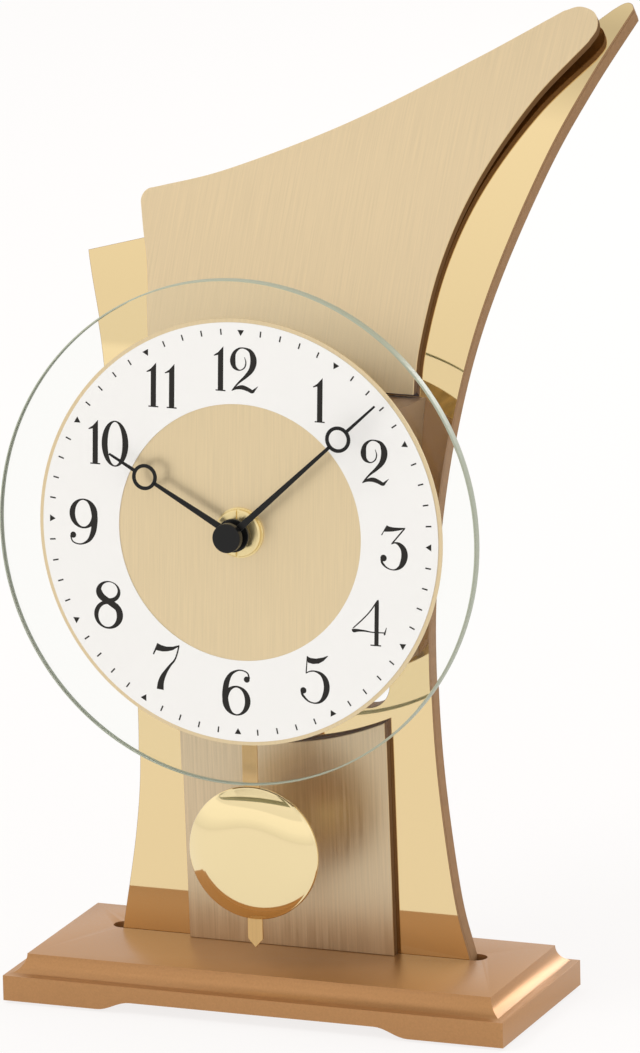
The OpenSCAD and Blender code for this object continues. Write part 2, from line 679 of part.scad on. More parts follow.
module hour_wheel() color(white_plastic) on_dial() difference() {
    union() {
        translate([0, 0, hour_level]) gear(hour_teeth, hour_module, wheel_t + 0.2, hour_phase);
        translate([0, 0, hour_level]) cylinder(h = hour_hand_z + 1 - hour_level, r = hour_pipe_r);
    }
    translate([0, 0, hour_level - 1]) cylinder(h = 30, r = shaft_r + run_gap);
}
knob_phase = mesh(minute_phase, minute_teeth, knob_teeth, knob_way);
knob_t = 3;
module setting_knob() color(black) on_dial() translate([knob_at[0], knob_at[1], 0]) {
    translate([0, 0, minute_level - 0.1]) gear(knob_teeth, set_module, wheel_t + 0.2, knob_phase);
    translate([0, 0, case_back_z - 0.5 - knob_t])
        cylinder(h = minute_level - case_back_z + 0.5 + knob_t, r = shaft_r);
    translate([0, 0, case_back_z - 0.4 - knob_t]) difference() {
        cylinder(h = knob_t, r = knob_r);
        for (k = [0:11]) rotate([0, 0, 30 * k]) translate([knob_r + 0.5, 0, -1])
            cylinder(h = knob_t + 2, r = 1.1, $fn = 16);
    }
}

// The case is open behind, and the cover carries the pins that the wheels run on.
case_half = case_w / 2;
divider_y = -11.2;
bay_half = case_half - case_t;
module movement_case() color(white_plastic) on_dial() difference() {
    union() {
        difference() {
            translate([-case_half, -case_half, case_back_z + case_t])
                cube([case_w, case_w, case_d - case_t]);
            translate([-bay_half, -bay_half, case_back_z])
                cube([2 * bay_half, 2 * bay_half, case_d - case_t]);
        }
        translate([-bay_half - 0.1, divider_y - 0.4, case_back_z + case_t])
            cube([2 * bay_half + 0.2, 0.8, case_d - case_t]);
        translate([minute_at[0], minute_at[1], minute_level])
            cylinder(h = case_in_z - minute_level + 0.1, r = set_pin_r);
    }
    translate([0, 0, case_z - 5]) cylinder(h = 10, r = bush_bore_r);
}
module movement_cover() color(white_plastic) on_dial() difference() {
    union() {
        translate([-case_half, -case_half, case_back_z]) cube([case_w, case_w, case_t]);
        for (p = [[third_at, centre_level], [second_at, third_level], [step_at, second_level],
            [rotor_at, step_level]]) translate([p[0][0], p[0][1], case_back_z + 0.1])
            cylinder(h = p[1] + wheel_t - case_back_z, r = pin_r, $fn = 24);
        for (p = [core_at - [0, 0], rotor_at + [4.1, 0]])
            translate([p[0], p[1], case_back_z + 0.1])
            cylinder(h = stator_z - case_back_z - 0.1, r = 0.8);
    }
    translate([0, 0, case_back_z - 1]) cylinder(h = case_t + 2, r = rear_pivot_r + run_gap);
    translate([knob_at[0], knob_at[1], case_back_z - 1])
        cylinder(h = case_t + 2, r = shaft_r + run_gap);
    translate([-battery_len / 2 + 1, -bay_half, case_back_z - 1])
        cube([battery_len - 2, divider_y - 0.4 + bay_half, case_t + 2]);
}
battery_y = divider_y - 0.6 - battery_r;
battery_z = case_in_z - 0.3 - battery_r;
module battery() color([0.25, 0.25, 0.28]) on_dial() translate([-battery_len / 2, battery_y,
    battery_z]) rotate([0, 90, 0]) {
        cylinder(h = battery_len - 1.4, r = battery_r);
        cylinder(h = battery_len, r = 2.7);
    }
contact_t = 0.4;
contact_gap = bay_half - battery_len / 2;
module battery_contacts() color(steel) on_dial() {
    for (i = [-1, 1]) translate([i * (bay_half - contact_t / 2 - 0.05) - contact_t / 2,
        battery_y - 4.5, battery_z - 5]) cube([contact_t, 9, 10]);
    for (i = [-1, 1]) translate([i * (bay_half - contact_t), battery_y, battery_z])
        rotate([0, -90 * i, 0]) cylinder(h = contact_gap - contact_t - 0.05, r = 2.2);
}
board_z = case_back_z + case_t + 0.05;
module circuit_board() color("darkgreen") on_dial()
    translate([-bay_half + 0.5, divider_y + 1, board_z]) difference() {
        cube([13, 22, 1]);
        translate([7, 4, -1]) cylinder(h = 3, r = 1);
    }
module quartz_crystal() color(steel) on_dial()
    translate([-bay_half + 4, divider_y + 12, board_z + 1 + 1.05]) rotate([-90, 0, 0])
    cylinder(h = 6.5, r = 1);
core_at = [-19.5, 23.8];
stator_t = 0.8;
stator_z = step_level - 0.6 - magnet_t + 0.6;
coil_r = 2.4;
module step_coil() color(copper) on_dial() translate([-17.6, core_at[1], stator_z + stator_t / 2])
    rotate([0, 90, 0]) difference() {
        cylinder(h = 15, r = coil_r);
        translate([0, 0, -1]) cylinder(h = 17, r = 1.1);
    }
module stator() color(steel) on_dial() translate([0, 0, stator_z]) difference() {
    union() {
        translate([rotor_at[0], rotor_at[1], 0]) cylinder(h = stator_t, r = 5);
        translate([core_at[0] - 1.5, core_at[1] - 0.7, 0])
            cube([rotor_at[0] - core_at[0], 1.4, stator_t]);
    }
    translate([rotor_at[0], rotor_at[1], -1]) cylinder(h = stator_t + 2, r = magnet_r + 0.5);
}

// A hand: a tapered bar with an open ring near its end and a fine tip.
function taper(at, len) = hand_w / 2 + (0.4 - hand_w / 2) * at / len;
module hand(len, ring_at, angle, hub_r, hub_h, hub_z, z, bore) {
    rotate([0, 0, -angle]) difference() {
        union() {
            translate([0, 0, hub_z]) cylinder(h = hub_h, r = hub_r);
            translate([0, 0, z]) linear_extrude(hand_t) polygon([[-hand_w / 2, 0],
                [hand_w / 2, 0], [taper(ring_at, len), ring_at], [0.3, len], [-0.3, len],
                [-taper(ring_at, len), ring_at]]);
            translate([0, ring_at, z]) cylinder(h = hand_t, r = ring_r);
        }
        translate([0, ring_at, z - 1]) cylinder(h = 3, r = ring_r - 1.1);
        translate([0, 0, -1]) cylinder(h = 20, r = bore);
    }
}
module hour_hand() color(black) on_dial() hand(hour_len, hour_ring_at, hour_angle, 5.6, 1.5,
    hour_hand_z - 0.5, hour_hand_z, hour_pipe_r + 0.02);
module minute_hand() color(black) on_dial() hand(minute_len, minute_ring_at, minute_angle, 4.2,
    1, minute_hand_z - 0.1, minute_hand_z, shaft_r + 0.02);
module hand_cap() color(black) on_dial() translate([0, 0, cap_z]) difference() {
    union() {
        cylinder(h = cap_h - 0.4, r = cap_r);
        translate([0, 0, cap_h - 0.4]) cylinder(h = 0.4, r1 = cap_r, r2 = cap_r - 0.4);
    }
    translate([0, 0, -1]) cylinder(h = shaft_top - cap_z + 1.05, r = shaft_r + 0.02);
}

// The pendulum hangs plumb from a level pin, in front of the drive under the movement.
drive_front_z = -12.8;
drive_back_z = -24;
drive_half = 15;
drive_low = -47.5;
drive_t = 1;
drive_coil_y = -41.6;
leader_front = rod_y + rod_t / 2;
leader_t = 2;
leader_w = 5;
leader_low = 115.5;
magnet_z = 126;
leader_magnet_r = 2.2;
rod_top = 122.5;
stud_z = 118.8;
stud_r = 1;
pin_back = -43;
module along_y(x, y, z, h, r, r2 = -1) {
    translate([x, y, z]) rotate([-90, 0, 0]) cylinder(h = h, r1 = r, r2 = r2 < 0 ? r : r2);
}
module drive_case() color(white_plastic) difference() {
    union() {
        on_dial() difference() {
            translate([-drive_half, drive_low, drive_back_z])
                cube([2 * drive_half, -case_half - fit_gap - drive_low,
                    drive_front_z - drive_back_z]);
            translate([-drive_half + drive_t, drive_low + drive_t, drive_back_z + drive_t])
                cube([2 * (drive_half - drive_t), -case_half - fit_gap - drive_low - 2 * drive_t,
                    drive_front_z - drive_back_z - 2 * drive_t]);
        }
        pin_boss();
    }
    along_y(dial_x, -60, pivot_z, 60 + pin_back, pivot_r + 0.01);
}
module pin_boss() {
    intersection() {
        along_y(dial_x, -60, pivot_z, 60 + pin_back + 1, 2.6);
        on_dial() translate([-drive_half, drive_low, drive_back_z + 0.5])
            cube([2 * drive_half, 50, drive_front_z - drive_back_z - 1]);
    }
}
module drive_coil() color(copper) on_dial()
    translate([0, drive_coil_y, drive_front_z - drive_t - 0.1]) rotate([180, 0, 0]) difference() {
        cylinder(h = 7, r = 4.2);
        translate([0, 0, -1]) cylinder(h = 9, r = 1.4);
    }
pin_front = leader_front - 0.5;
module pivot_pin() color(steel) {
    along_y(dial_x, pin_front, pivot_z, pin_back - pin_front, pivot_r);
    along_y(dial_x, pin_front, pivot_z, 0.4, 1.7);
}
module pendulum_leader() color(black) difference() {
    union() {
        along_y(dial_x, leader_front, pivot_z, leader_t, 3.1);
        translate([dial_x - leader_w / 2, leader_front, leader_low])
            cube([leader_w, leader_t, pivot_z - leader_low]);
        along_y(dial_x, leader_front, magnet_z, leader_t, leader_magnet_r + 0.8);
        along_y(dial_x, leader_front - rod_t - 0.3, stud_z, rod_t + 0.4, stud_r);
    }
    along_y(dial_x, leader_front - 1, pivot_z, leader_t + 2, pivot_r + run_gap);
    along_y(dial_x, leader_front + 0.6, magnet_z, leader_t, leader_magnet_r + 0.03);
}
module leader_magnet() color(steel)
    along_y(dial_x, leader_front + 0.62, magnet_z, leader_t - 0.62, leader_magnet_r);
rod_point = 3;       // height of the rod's pointed end
module pendulum_rod() color(copper) difference() {
    translate([dial_x, rod_y + rod_t / 2, 0]) rotate([90, 0, 0]) linear_extrude(rod_t)
        polygon([[-rod_w / 2, rod_top], [rod_w / 2, rod_top], [rod_w / 2, rod_end_z + rod_point],
            [0, rod_end_z], [-rod_w / 2, rod_end_z + rod_point]]);
    along_y(dial_x, rod_y - 2, stud_z, 4, stud_r + 0.03);
}
// The bob: a pressed dome with a short skirt, notched where the rod passes, and a back plate.
bob_front = rod_y - rod_t / 2 - 0.2;
bob_skirt = rod_t + 1.2;
dome_r = (bob_r * bob_r + bob_crown * bob_crown) / (2 * bob_crown);
module dome(r, crown, sphere_r) {
    translate([dial_x, bob_front, bob_z]) rotate([90, 0, 0]) intersection() {
        translate([0, 0, crown - sphere_r]) sphere(r = sphere_r, $fn = 96);
        cylinder(h = crown + 1, r = r);
    }
}
module bob_shell() color(gold) difference() {
    union() {
        dome(bob_r, bob_crown, dome_r);
        along_y(dial_x, bob_front - 0.02, bob_z, bob_skirt, bob_r);
    }
    dome(bob_r - shell_t, bob_crown - shell_t, dome_r - shell_t);
    along_y(dial_x, bob_front - 0.01, bob_z, bob_skirt + 1, bob_r - shell_t);
    translate([dial_x - rod_w / 2 - 0.2, bob_front, bob_z - bob_r - 1])
        cube([rod_w + 0.4, bob_skirt + 1, 2 * bob_r + 2]);
}
module bob_back() color(gold)
    along_y(dial_x, rod_y + rod_t / 2 + 0.03, bob_z, 0.6, bob_r - shell_t - 0.1);

base_plinth();
felt_pads();
back_board();
back_mirror();
board_screws();
upper_board();
upper_skin();
lower_board();
lower_skin();
panel_screws();
box_frame();
box_front();
box_screws();
glass_disc();
dial_plate();
chapter_ring();
hub_nut();
rubber_washer();
centre_bush();
movement_case();
movement_cover();
battery();
battery_contacts();
circuit_board();
quartz_crystal();
step_coil();
stator();
step_rotor();
step_wheel();
second_wheel();
third_wheel();
centre_wheel();
minute_shaft();
minute_wheel();
hour_wheel();
setting_knob();
hour_hand();
minute_hand();
hand_cap();
drive_case();
drive_coil();
pivot_pin();
pendulum_leader();
leader_magnet();
pendulum_rod();
bob_shell();
bob_back();
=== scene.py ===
import math

import bmesh
import bpy
import numpy as np
from mathutils import Matrix, Vector
from mathutils.geometry import delaunay_2d_cdt


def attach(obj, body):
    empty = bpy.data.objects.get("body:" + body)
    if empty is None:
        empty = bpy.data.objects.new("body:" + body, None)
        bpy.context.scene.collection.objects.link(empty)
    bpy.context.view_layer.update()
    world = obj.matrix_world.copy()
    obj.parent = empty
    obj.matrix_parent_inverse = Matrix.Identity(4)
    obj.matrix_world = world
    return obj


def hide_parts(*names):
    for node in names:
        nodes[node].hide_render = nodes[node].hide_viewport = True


scene = bpy.context.scene
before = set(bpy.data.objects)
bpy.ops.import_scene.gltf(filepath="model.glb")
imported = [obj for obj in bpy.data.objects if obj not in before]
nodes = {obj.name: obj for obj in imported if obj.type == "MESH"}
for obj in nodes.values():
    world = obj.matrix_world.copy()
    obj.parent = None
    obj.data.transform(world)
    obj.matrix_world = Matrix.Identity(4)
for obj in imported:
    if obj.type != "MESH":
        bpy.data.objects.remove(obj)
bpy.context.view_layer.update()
print("frame loaded")

mm = 0.001


def lin(r, g, b):
    # a screen colour of 0 to 255 in linear light: ((c + 0.055) / 1.055) to the power 2.4, and c / 12.92 near black
    return tuple(((c / 255 + 0.055) / 1.055) ** 2.4 if c > 10 else c / 3294.6 for c in (r, g, b))


# materials
def material(name, color, metallic=0.0, roughness=0.5, **more):
    # a plain Principled material; more holds values for its other sockets
    m = bpy.data.materials.new(name)
    m.use_nodes = True
    b = m.node_tree.nodes["Principled BSDF"]
    b.inputs["Base Color"].default_value = (*color, 1)
    b.inputs["Metallic"].default_value = metallic
    b.inputs["Roughness"].default_value = roughness
    for key, value in more.items():
        b.inputs[key].default_value = value
    return m


def grain(m, scale, amount, roughAmount=0.0, bump=0.0):
    # a stretched noise varies the colour by 1 +- amount and the roughness by +- roughAmount
    low, high = 0.3, 0.7
    t = m.node_tree
    b = t.nodes["Principled BSDF"]
    coord = t.nodes.new("ShaderNodeTexCoord")
    mapping = t.nodes.new("ShaderNodeMapping")
    mapping.inputs["Scale"].default_value = scale
    noise = t.nodes.new("ShaderNodeTexNoise")
    noise.inputs["Scale"].default_value = 1.0
    noise.inputs["Detail"].default_value = 4.0
    noise.inputs["Roughness"].default_value = 0.6
    t.links.new(coord.outputs["Object"], mapping.inputs["Vector"])
    t.links.new(mapping.outputs["Vector"], noise.inputs["Vector"])
    spread = t.nodes.new("ShaderNodeMapRange")
    spread.inputs["From Min"].default_value = low
    spread.inputs["From Max"].default_value = high
    spread.inputs["To Min"].default_value = 1 - amount
    spread.inputs["To Max"].default_value = 1 + amount
    t.links.new(noise.outputs["Fac"], spread.inputs["Value"])
    tint = t.nodes.new("ShaderNodeMix")
    tint.data_type = "RGBA"
    tint.blend_type = "MULTIPLY"
    tint.inputs["Factor"].default_value = 1.0
    tint.inputs["A"].default_value = b.inputs["Base Color"].default_value
    t.links.new(spread.outputs["Result"], tint.inputs["B"])
    t.links.new(tint.outputs["Result"], b.inputs["Base Color"])
    if roughAmount:
        rough = t.nodes.new("ShaderNodeMapRange")
        r = b.inputs["Roughness"].default_value
        rough.inputs["From Min"].default_value = low
        rough.inputs["From Max"].default_value = high
        rough.inputs["To Min"].default_value = r - roughAmount
        rough.inputs["To Max"].default_value = r + roughAmount
        t.links.new(noise.outputs["Fac"], rough.inputs["Value"])
        t.links.new(rough.outputs["Result"], b.inputs["Roughness"])
    if bump:
        n = t.nodes.new("ShaderNodeBump")
        n.inputs["Strength"].default_value = 1.0
        n.inputs["Distance"].default_value = bump * mm
        t.links.new(noise.outputs["Fac"], n.inputs["Height"])
        t.links.new(n.outputs["Normal"], b.inputs["Normal"])
    return m


mirrorGold = material("mirrorGold", lin(233, 209, 160), 1.0, 0.03)
champagne = grain(material("champagneBrushed", lin(217, 196, 160), 0.85, 0.4), (1700, 0, 40), 0.06, 0.06)
bronzeBrushed = grain(material("bronzeBrushed", lin(208, 188, 156), 0.9, 0.36), (1300, 0, 26), 0.12, 0.08)
boxBronze = grain(material("boxBronze", lin(130, 98, 70), 0.6, 0.42), (900, 900, 900), 0.04)
rodBronze = grain(material("rodBronze", lin(204, 168, 114), 0.9, 0.36), (1300, 0, 26), 0.05)
edgePaint = grain(material("edgePaint", lin(138, 105, 72), 0.0, 0.6, **{"Specular IOR Level": 0.15}),
                  (400, 400, 400), 0.08)
panelEdge = material("panelEdge", lin(104, 74, 46), 0.0, 0.6, **{"Specular IOR Level": 0.15})
basePaint = grain(material("basePaint", lin(172, 126, 80), 0.55, 0.36), (1400, 1400, 1400), 0.07, 0.05, bump=0.01)
silverDial = material("silverDial", lin(227, 226, 224), 0.35, 0.4)
goldDial = grain(material("goldDial", lin(222, 202, 164), 0.9, 0.36), (1700, 0, 40), 0.05, 0.05)
printInk = material("printInk", lin(36, 34, 32), 0.0, 0.7, **{"Specular IOR Level": 0.2})
nutBrass = material("nutBrass", lin(234, 214, 160), 0.9, 0.28)
brassShine = material("brassShine", lin(240, 218, 158), 1.0, 0.12)
bobGold = material("bobGold", lin(238, 219, 172), 1.0, 0.07)
blackSatin = material("blackSatin", lin(15, 15, 15), 0.0, 0.3, **{"Specular IOR Level": 0.25})
whitePlastic = material("whitePlastic", lin(226, 224, 218), 0.0, 0.45)
blackPlastic = material("blackPlastic", lin(26, 26, 27), 0.0, 0.5)
steel = material("steel", lin(188, 187, 186), 1.0, 0.28)
copperWire = grain(material("copperWire", lin(184, 110, 66), 0.9, 0.35), (60, 60, 5000), 0.2)
greenBoard = material("greenBoard", lin(34, 92, 58), 0.0, 0.4)
batteryWrap = material("batteryWrap", lin(58, 60, 66), 0.2, 0.3)
blackRubber = material("blackRubber", lin(24, 24, 24), 0.0, 0.8)
greyFelt = material("greyFelt", lin(72, 70, 68), 0.0, 0.95)


def seenBy(t, rays):
    # 1 for the named kinds of ray and 0 for all others: the largest of Light Path's flags
    path = t.nodes.new("ShaderNodeLightPath")
    level = path.outputs[rays[0]]
    for ray in rays[1:]:
        largest = t.nodes.new("ShaderNodeMath")
        largest.operation = "MAXIMUM"
        t.links.new(level, largest.inputs[0])
        t.links.new(path.outputs[ray], largest.inputs[1])
        level = largest.outputs["Value"]
    return level


def mixed(t, level, first, second, output):
    # the first shader where the level is 0 and the second where it is 1
    mix = t.nodes.new("ShaderNodeMixShader")
    t.links.new(level, mix.inputs["Fac"])
    t.links.new(first, mix.inputs[1])
    t.links.new(second, mix.inputs[2])
    t.links.new(mix.outputs["Shader"], output.inputs["Surface"])


def glassMaterial(name, color):
    # shadow rays pass straight through, so the glass casts almost no shadow
    m = material(name, color, 0.0, 0.0, **{
        "Transmission Weight": 1.0, "IOR": 1.45, "Specular Tint": (0.4, 0.4, 0.4, 1)})
    t = m.node_tree
    clear = t.nodes.new("ShaderNodeBsdfTransparent")
    clear.inputs["Color"].default_value = (0.93, 0.95, 0.94, 1)
    mixed(t, seenBy(t, ["Is Shadow Ray"]), t.nodes["Principled BSDF"].outputs["BSDF"], clear.outputs["BSDF"],
          t.nodes["Material Output"])
    return m


clearGlass = glassMaterial("clearGlass", (0.97, 0.98, 0.965))
# the rim's own colour is a greenish glass tint; its faint emission is a painted glow that stands in for the pale lit
# line along the rim
edgeGlassPaintedGlow = material("edgeGlassPaintedGlow", lin(152, 158, 140), 0.0, 0.4, **{
    "Transmission Weight": 0.2, "Emission Color": (*lin(190, 200, 184), 1), "Emission Strength": 0.06})
print("materials made")


# mesh helpers
def build(name, verts, faces, mats, index=None, normals=None):
    # a mesh from points in millimetres; index is each face's slot, and normals holds a vector per face and
    # corner, or zeros where Blender works it out
    mesh = bpy.data.meshes.new(name)
    mesh.from_pydata(np.asarray(verts) * mm, [], faces)
    mesh.update()
    for m in mats:
        mesh.materials.append(m)
    if index is not None:
        mesh.polygons.foreach_set("material_index", np.asarray(index, np.int32))
    mesh.polygons.foreach_set("use_smooth", np.ones(len(mesh.polygons), bool))
    mesh.set_sharp_from_angle(angle=math.radians(30))
    if normals is not None:
        mesh.normals_split_custom_set(normals)
    obj = bpy.data.objects.new(name, mesh)
    scene.collection.objects.link(obj)
    return obj


def curve(points, steps):
    # between two points, the cubic through both whose slope at each is half the step between its neighbours
    p = np.array(points, float)
    ends = np.vstack([2 * p[0] - p[1], p, 2 * p[-1] - p[-2]])
    t = (np.arange(steps) / steps)[:, None]
    out = []
    for i in range(len(p) - 1):
        a, b, c, d = ends[i:i + 4]
        out.append(0.5 * (2 * b + (c - a) * t + (2 * a - 5 * b + 4 * c - d) * t * t
                          + (3 * b - a - 3 * c + d) * t ** 3))
    return np.vstack(out)


def arc(cx, cy, r, a0, a1, n=12):
    # points of a circle at even angles, in degrees from a0 to a1
    a = np.radians(np.linspace(a0, a1, n + 1))
    return np.column_stack([cx + r * np.cos(a), cy + r * np.sin(a)])


def turnsLeft(p):
    # twice the signed area is positive when the outline turns left
    q = np.roll(p, -1, 0)
    return np.sum(p[:, 0] * q[:, 1] - q[:, 0] * p[:, 1]) > 0


def cleaned(p, least=0.02):
    # drops points nearer than least to the one before, and makes the outline turn left
    keep = np.linalg.norm(p - np.roll(p, 1, 0), axis=1) > least
    p = p[keep]
    return p if turnsLeft(p) else p[::-1]


def resampled(p, step):
    # each side is split evenly into pieces no longer than step
    out = []
    for a, b in zip(p, np.roll(p, -1, 0)):
        n = max(1, int(math.ceil(np.linalg.norm(b - a) / step)))
        out.append(a + (b - a) * (np.arange(n) / n)[:, None])
    return np.vstack(out)


def inset(p, d):
    # a left-turning outline moved inwards by d: each corner goes along the mean of its two sides' normals, by d
    # over the cosine of the half angle, and no further than 2.5 d
    before, after = p - np.roll(p, 1, 0), np.roll(p, -1, 0) - p
    before /= np.linalg.norm(before, axis=1)[:, None]
    after /= np.linalg.norm(after, axis=1)[:, None]
    n0 = np.column_stack([-before[:, 1], before[:, 0]])
    n1 = np.column_stack([-after[:, 1], after[:, 0]])
    n = n0 + n1
    n /= np.maximum(np.linalg.norm(n, axis=1), 1e-9)[:, None]
    stretch = 1 / np.maximum(np.sum(n * n0, axis=1), 0.4)
    return p + n * (d * stretch)[:, None]


def within(points, poly):
    # a point is inside when a line from it to the right crosses the outline an odd number of times
    x, y = points[:, 0][:, None], points[:, 1][:, None]
    a, b = poly, np.roll(poly, -1, 0)
    crosses = (a[:, 1] > y) != (b[:, 1] > y)
    rise = np.where(b[:, 1] == a[:, 1], 1, b[:, 1] - a[:, 1])
    at = a[:, 0] + (y - a[:, 1]) * (b[:, 0] - a[:, 0]) / rise
    return (np.sum(crosses & (x < at), axis=1) % 2) == 1


def nearestGap(points, poly):
    # the distance to the nearest of the outline's points
    return np.min(np.linalg.norm(points[:, None, :] - poly[None, :, :], axis=2), axis=1)


def plate(name, outline, holes, surface, front, back, mats, step, edge, square=None):
    # a sheet between the offsets front and back of a bent surface, whose outline (u, v) is drawn on that surface:
    # a point goes to (u, y(v) - d cos a, z(v) + d sin a), where a is the slope at v and d the offset.
    # square is (low, high): between these heights the walls turn from straight back to square with the slope
    outer = resampled(cleaned(outline), step)
    inner = [resampled(cleaned(h), step)[::-1] for h in holes]
    loops = [(outer, inset(outer, edge))] + [(h, inset(h, edge)) for h in inner]
    ring = np.vstack([b for _, b in loops])
    lowCorner, highCorner = ring.min(0), ring.max(0)
    u = np.arange(lowCorner[0] + step / 2, highCorner[0], step)
    v = np.arange(lowCorner[1] + step / 2, highCorner[1], step)
    grid = np.array(np.meshgrid(u, v)).reshape(2, -1).T
    grid = grid[within(grid, loops[0][1])]
    for _, b in loops[1:]:
        grid = grid[~within(grid, b)]
    grid = grid[nearestGap(grid, ring) > 0.45 * step]
    edges, start = [], 0
    for _, b in loops:
        n = len(b)
        edges += [(start + i, start + (i + 1) % n) for i in range(n)]
        start += n
    flat = [Vector(p) for p in np.vstack([ring, grid])]
    coords, _, tris, origin, _, _ = delaunay_2d_cdt(flat, edges, [], 0, 1e-7)
    coords = np.array([tuple(c) for c in coords])
    place = {q: i for i, many in enumerate(origin) for q in many}
    tris = np.array([list(f) for f in tris])
    middle = coords[tris].mean(1)
    keep = within(middle, loops[0][1])
    for _, b in loops[1:]:
        keep &= ~within(middle, b)
    tris = tris[keep]
    area = np.cross(coords[tris[:, 1]] - coords[tris[:, 0]], coords[tris[:, 2]] - coords[tris[:, 0]])
    tris[area < 0] = tris[area < 0][:, ::-1]
    n = len(coords)
    away, upward, slope = surface

    def at(p, off):
        # the point p of the outline's plane, on the bent surface and moved square to it by the offset
        a = np.interp(p[:, 1], upward, slope)
        turn = a if square is None else a * np.clip((p[:, 1] - square[0]) / (square[1] - square[0]), 0, 1)
        d = off / np.cos(a - turn)
        y = np.interp(p[:, 1], upward, away)
        return np.column_stack([p[:, 0], y - d * np.cos(turn), p[:, 1] + d * np.sin(turn)])

    verts = [at(coords, front), at(coords, back)]
    faces = [tuple(t) for t in tris] + [tuple(t[::-1] + n) for t in tris]
    count, start = 2 * n, 0
    for a, _ in loops:
        m = len(a)
        ids = np.array([place[start + i] for i in range(m)])
        start += m
        verts += [at(a, front - edge), at(a, back + edge)]
        rings = [ids, count + np.arange(m), count + m + np.arange(m), ids + n]
        for r0, r1 in zip(rings, rings[1:]):
            faces += np.stack([r0, r1, np.roll(r1, -1), np.roll(r0, -1)], axis=1).tolist()
        count += 2 * m
    # both faces are shaded by the surface's own normal, and the walls by Blender's
    a = np.interp(coords[:, 1], upward, slope)
    f = np.column_stack([0 * a, -np.cos(a), np.sin(a)])
    corner = np.zeros((sum(len(q) for q in faces), 3))
    k = 3 * len(tris)
    corner[:k] = f[tris.ravel()]
    corner[k:2 * k] = -f[tris[:, ::-1].ravel()]
    index = np.full(len(faces), len(mats) - 1)
    index[:2 * len(tris)] = 0
    return build(name, np.vstack(verts), faces, mats, index, corner.tolist())


# the bent sheets, with the same side view as the CAD part, in millimetres
sheets = dict(foot=(-21.4, 15.6), lean=2.35, straight=115.0, lowRadius=210.0, lowRun=110.0, upRadius=337.0,
              panelRadius=418.0, panelOffset=3.55, panelFoot=209.25, squareOff=(212, 236), middle=-3.0,
              mirrorBack=-1.0, boardBack=-7.0, skinBack=-0.6, panelBack=-3.5, mirrorEdge=0.15, boardEdge=0.3,
              panelEdge=0.12, rowStep=2.5)


def sheetLine(offset, upRadius):
    # the slope is the lean, and grows by run / radius along each arc; y and z are the running sums of its sine
    # and cosine, moved along the normal by the offset
    y0, z0 = sheets["foot"]
    ds = 0.25
    s = np.arange(-10, 375, ds)
    lean = math.radians(-sheets["lean"])
    lowEnd = sheets["straight"] + sheets["lowRun"]
    angle = (lean + np.clip(s - sheets["straight"], 0, sheets["lowRun"]) / sheets["lowRadius"]
             + np.maximum(s - lowEnd, 0) / upRadius)
    mid = (angle[1:] + angle[:-1]) / 2
    y = np.concatenate([[0], np.cumsum(np.sin(mid) * ds)])
    z = np.concatenate([[0], np.cumsum(np.cos(mid) * ds)])
    zero = np.argmin(abs(s))
    y, z = y - y[zero] + y0, z - z[zero] + z0
    return y - offset * np.cos(angle), z + offset * np.sin(angle), angle


middle = np.array([sheets["middle"], 0])
boardRight = [(63, 15.6), (58.2, 37), (53.8, 78), (52.6, 115), (54, 150), (58.7, 200), (65.1, 239),
              (76.2, 279.5), (85.3, 304), (94.9, 325.7)]
boardTop = [(94.9, 325.7), (93.8, 327.1), (91.6, 327.4), (88.6, 325.9), (84.2, 322.6), (63.6, 306.5),
            (25.7, 283.5), (-13.6, 264.5), (-47.8, 254), (-79.2, 245.9)]
boardLeft = [(-79.2, 245.9), (-67.2, 211), (-58.7, 160), (-54, 113), (-54, 78), (-56.6, 51), (-63, 15.6)]
boardOutline = np.vstack([[(63, 8.6)], curve(boardRight, 12), curve(boardTop, 8), curve(boardLeft, 12),
                          [(-63, 15.6), (-63, 8.6)]]) + middle
# the window's foot is 4 mm lower, and its right corner 1 mm further out and tighter, than in the CAD part
window = np.vstack([arc(26.5, 110.5, 8.5, -90, 0), arc(23, 186, 12, 0, 90), arc(-30, 186, 12, 90, 180),
                    arc(-30, 114, 12, 180, 270)])
sh, step = sheets, sheets["rowStep"]
mirrorLine = sheetLine(0, sh["upRadius"])
panelLine = sheetLine(sh["panelOffset"], sh["panelRadius"])
lowLine = sheetLine(sh["panelOffset"], sh["upRadius"])
mirror = plate("mirrorFace", boardOutline, [window], mirrorLine, 0, sh["mirrorBack"], [mirrorGold, edgePaint], step,
               sh["mirrorEdge"])
board = plate("boardBack", boardOutline, [window], mirrorLine, sh["mirrorBack"], sh["boardBack"], [edgePaint], step,
              sh["boardEdge"])
panelFoot = sh["panelFoot"]
panelLeft = [(-59.2, 254.1), (-55.6, 243.1), (-51.6, 224.3), (-49.2, panelFoot)]
panelRight = [(45.7, panelFoot), (45.5, 224), (48.7, 250.4), (56.2, 274.5), (69.5, 299), (84.6, 317.6)]
panelTip = [(84.6, 317.6), (86.5, 321.8), (84.4, 325.9), (78.7, 327.4), (73.4, 325.9)]
panelTop = [(73.4, 325.9), (44.7, 309.7), (6.2, 289.7), (-32.6, 274), (-58.4, 266.9)]
panelOutline = np.vstack([curve(panelRight, 12), curve(panelTip, 6), curve(panelTop, 12),
                          arc(-58.4, 263.3, 3.6, 95, 195), curve(panelLeft, 10), [(-49.2, panelFoot)]]) + middle
# the lower panel's top is hollowed by a circle round the dial
lowHalf, lowFoot, hollowX, hollowZ, hollowR = 37, 15.65, -10, 200.8, 113
hollow = [math.degrees(math.asin((x - hollowX) / hollowR)) - 90 for x in (lowHalf, -lowHalf)]
lowOutline = np.vstack([[(-lowHalf, lowFoot), (lowHalf, lowFoot)],
                        arc(hollowX, hollowZ, hollowR, hollow[0], hollow[1], 40)]) + middle


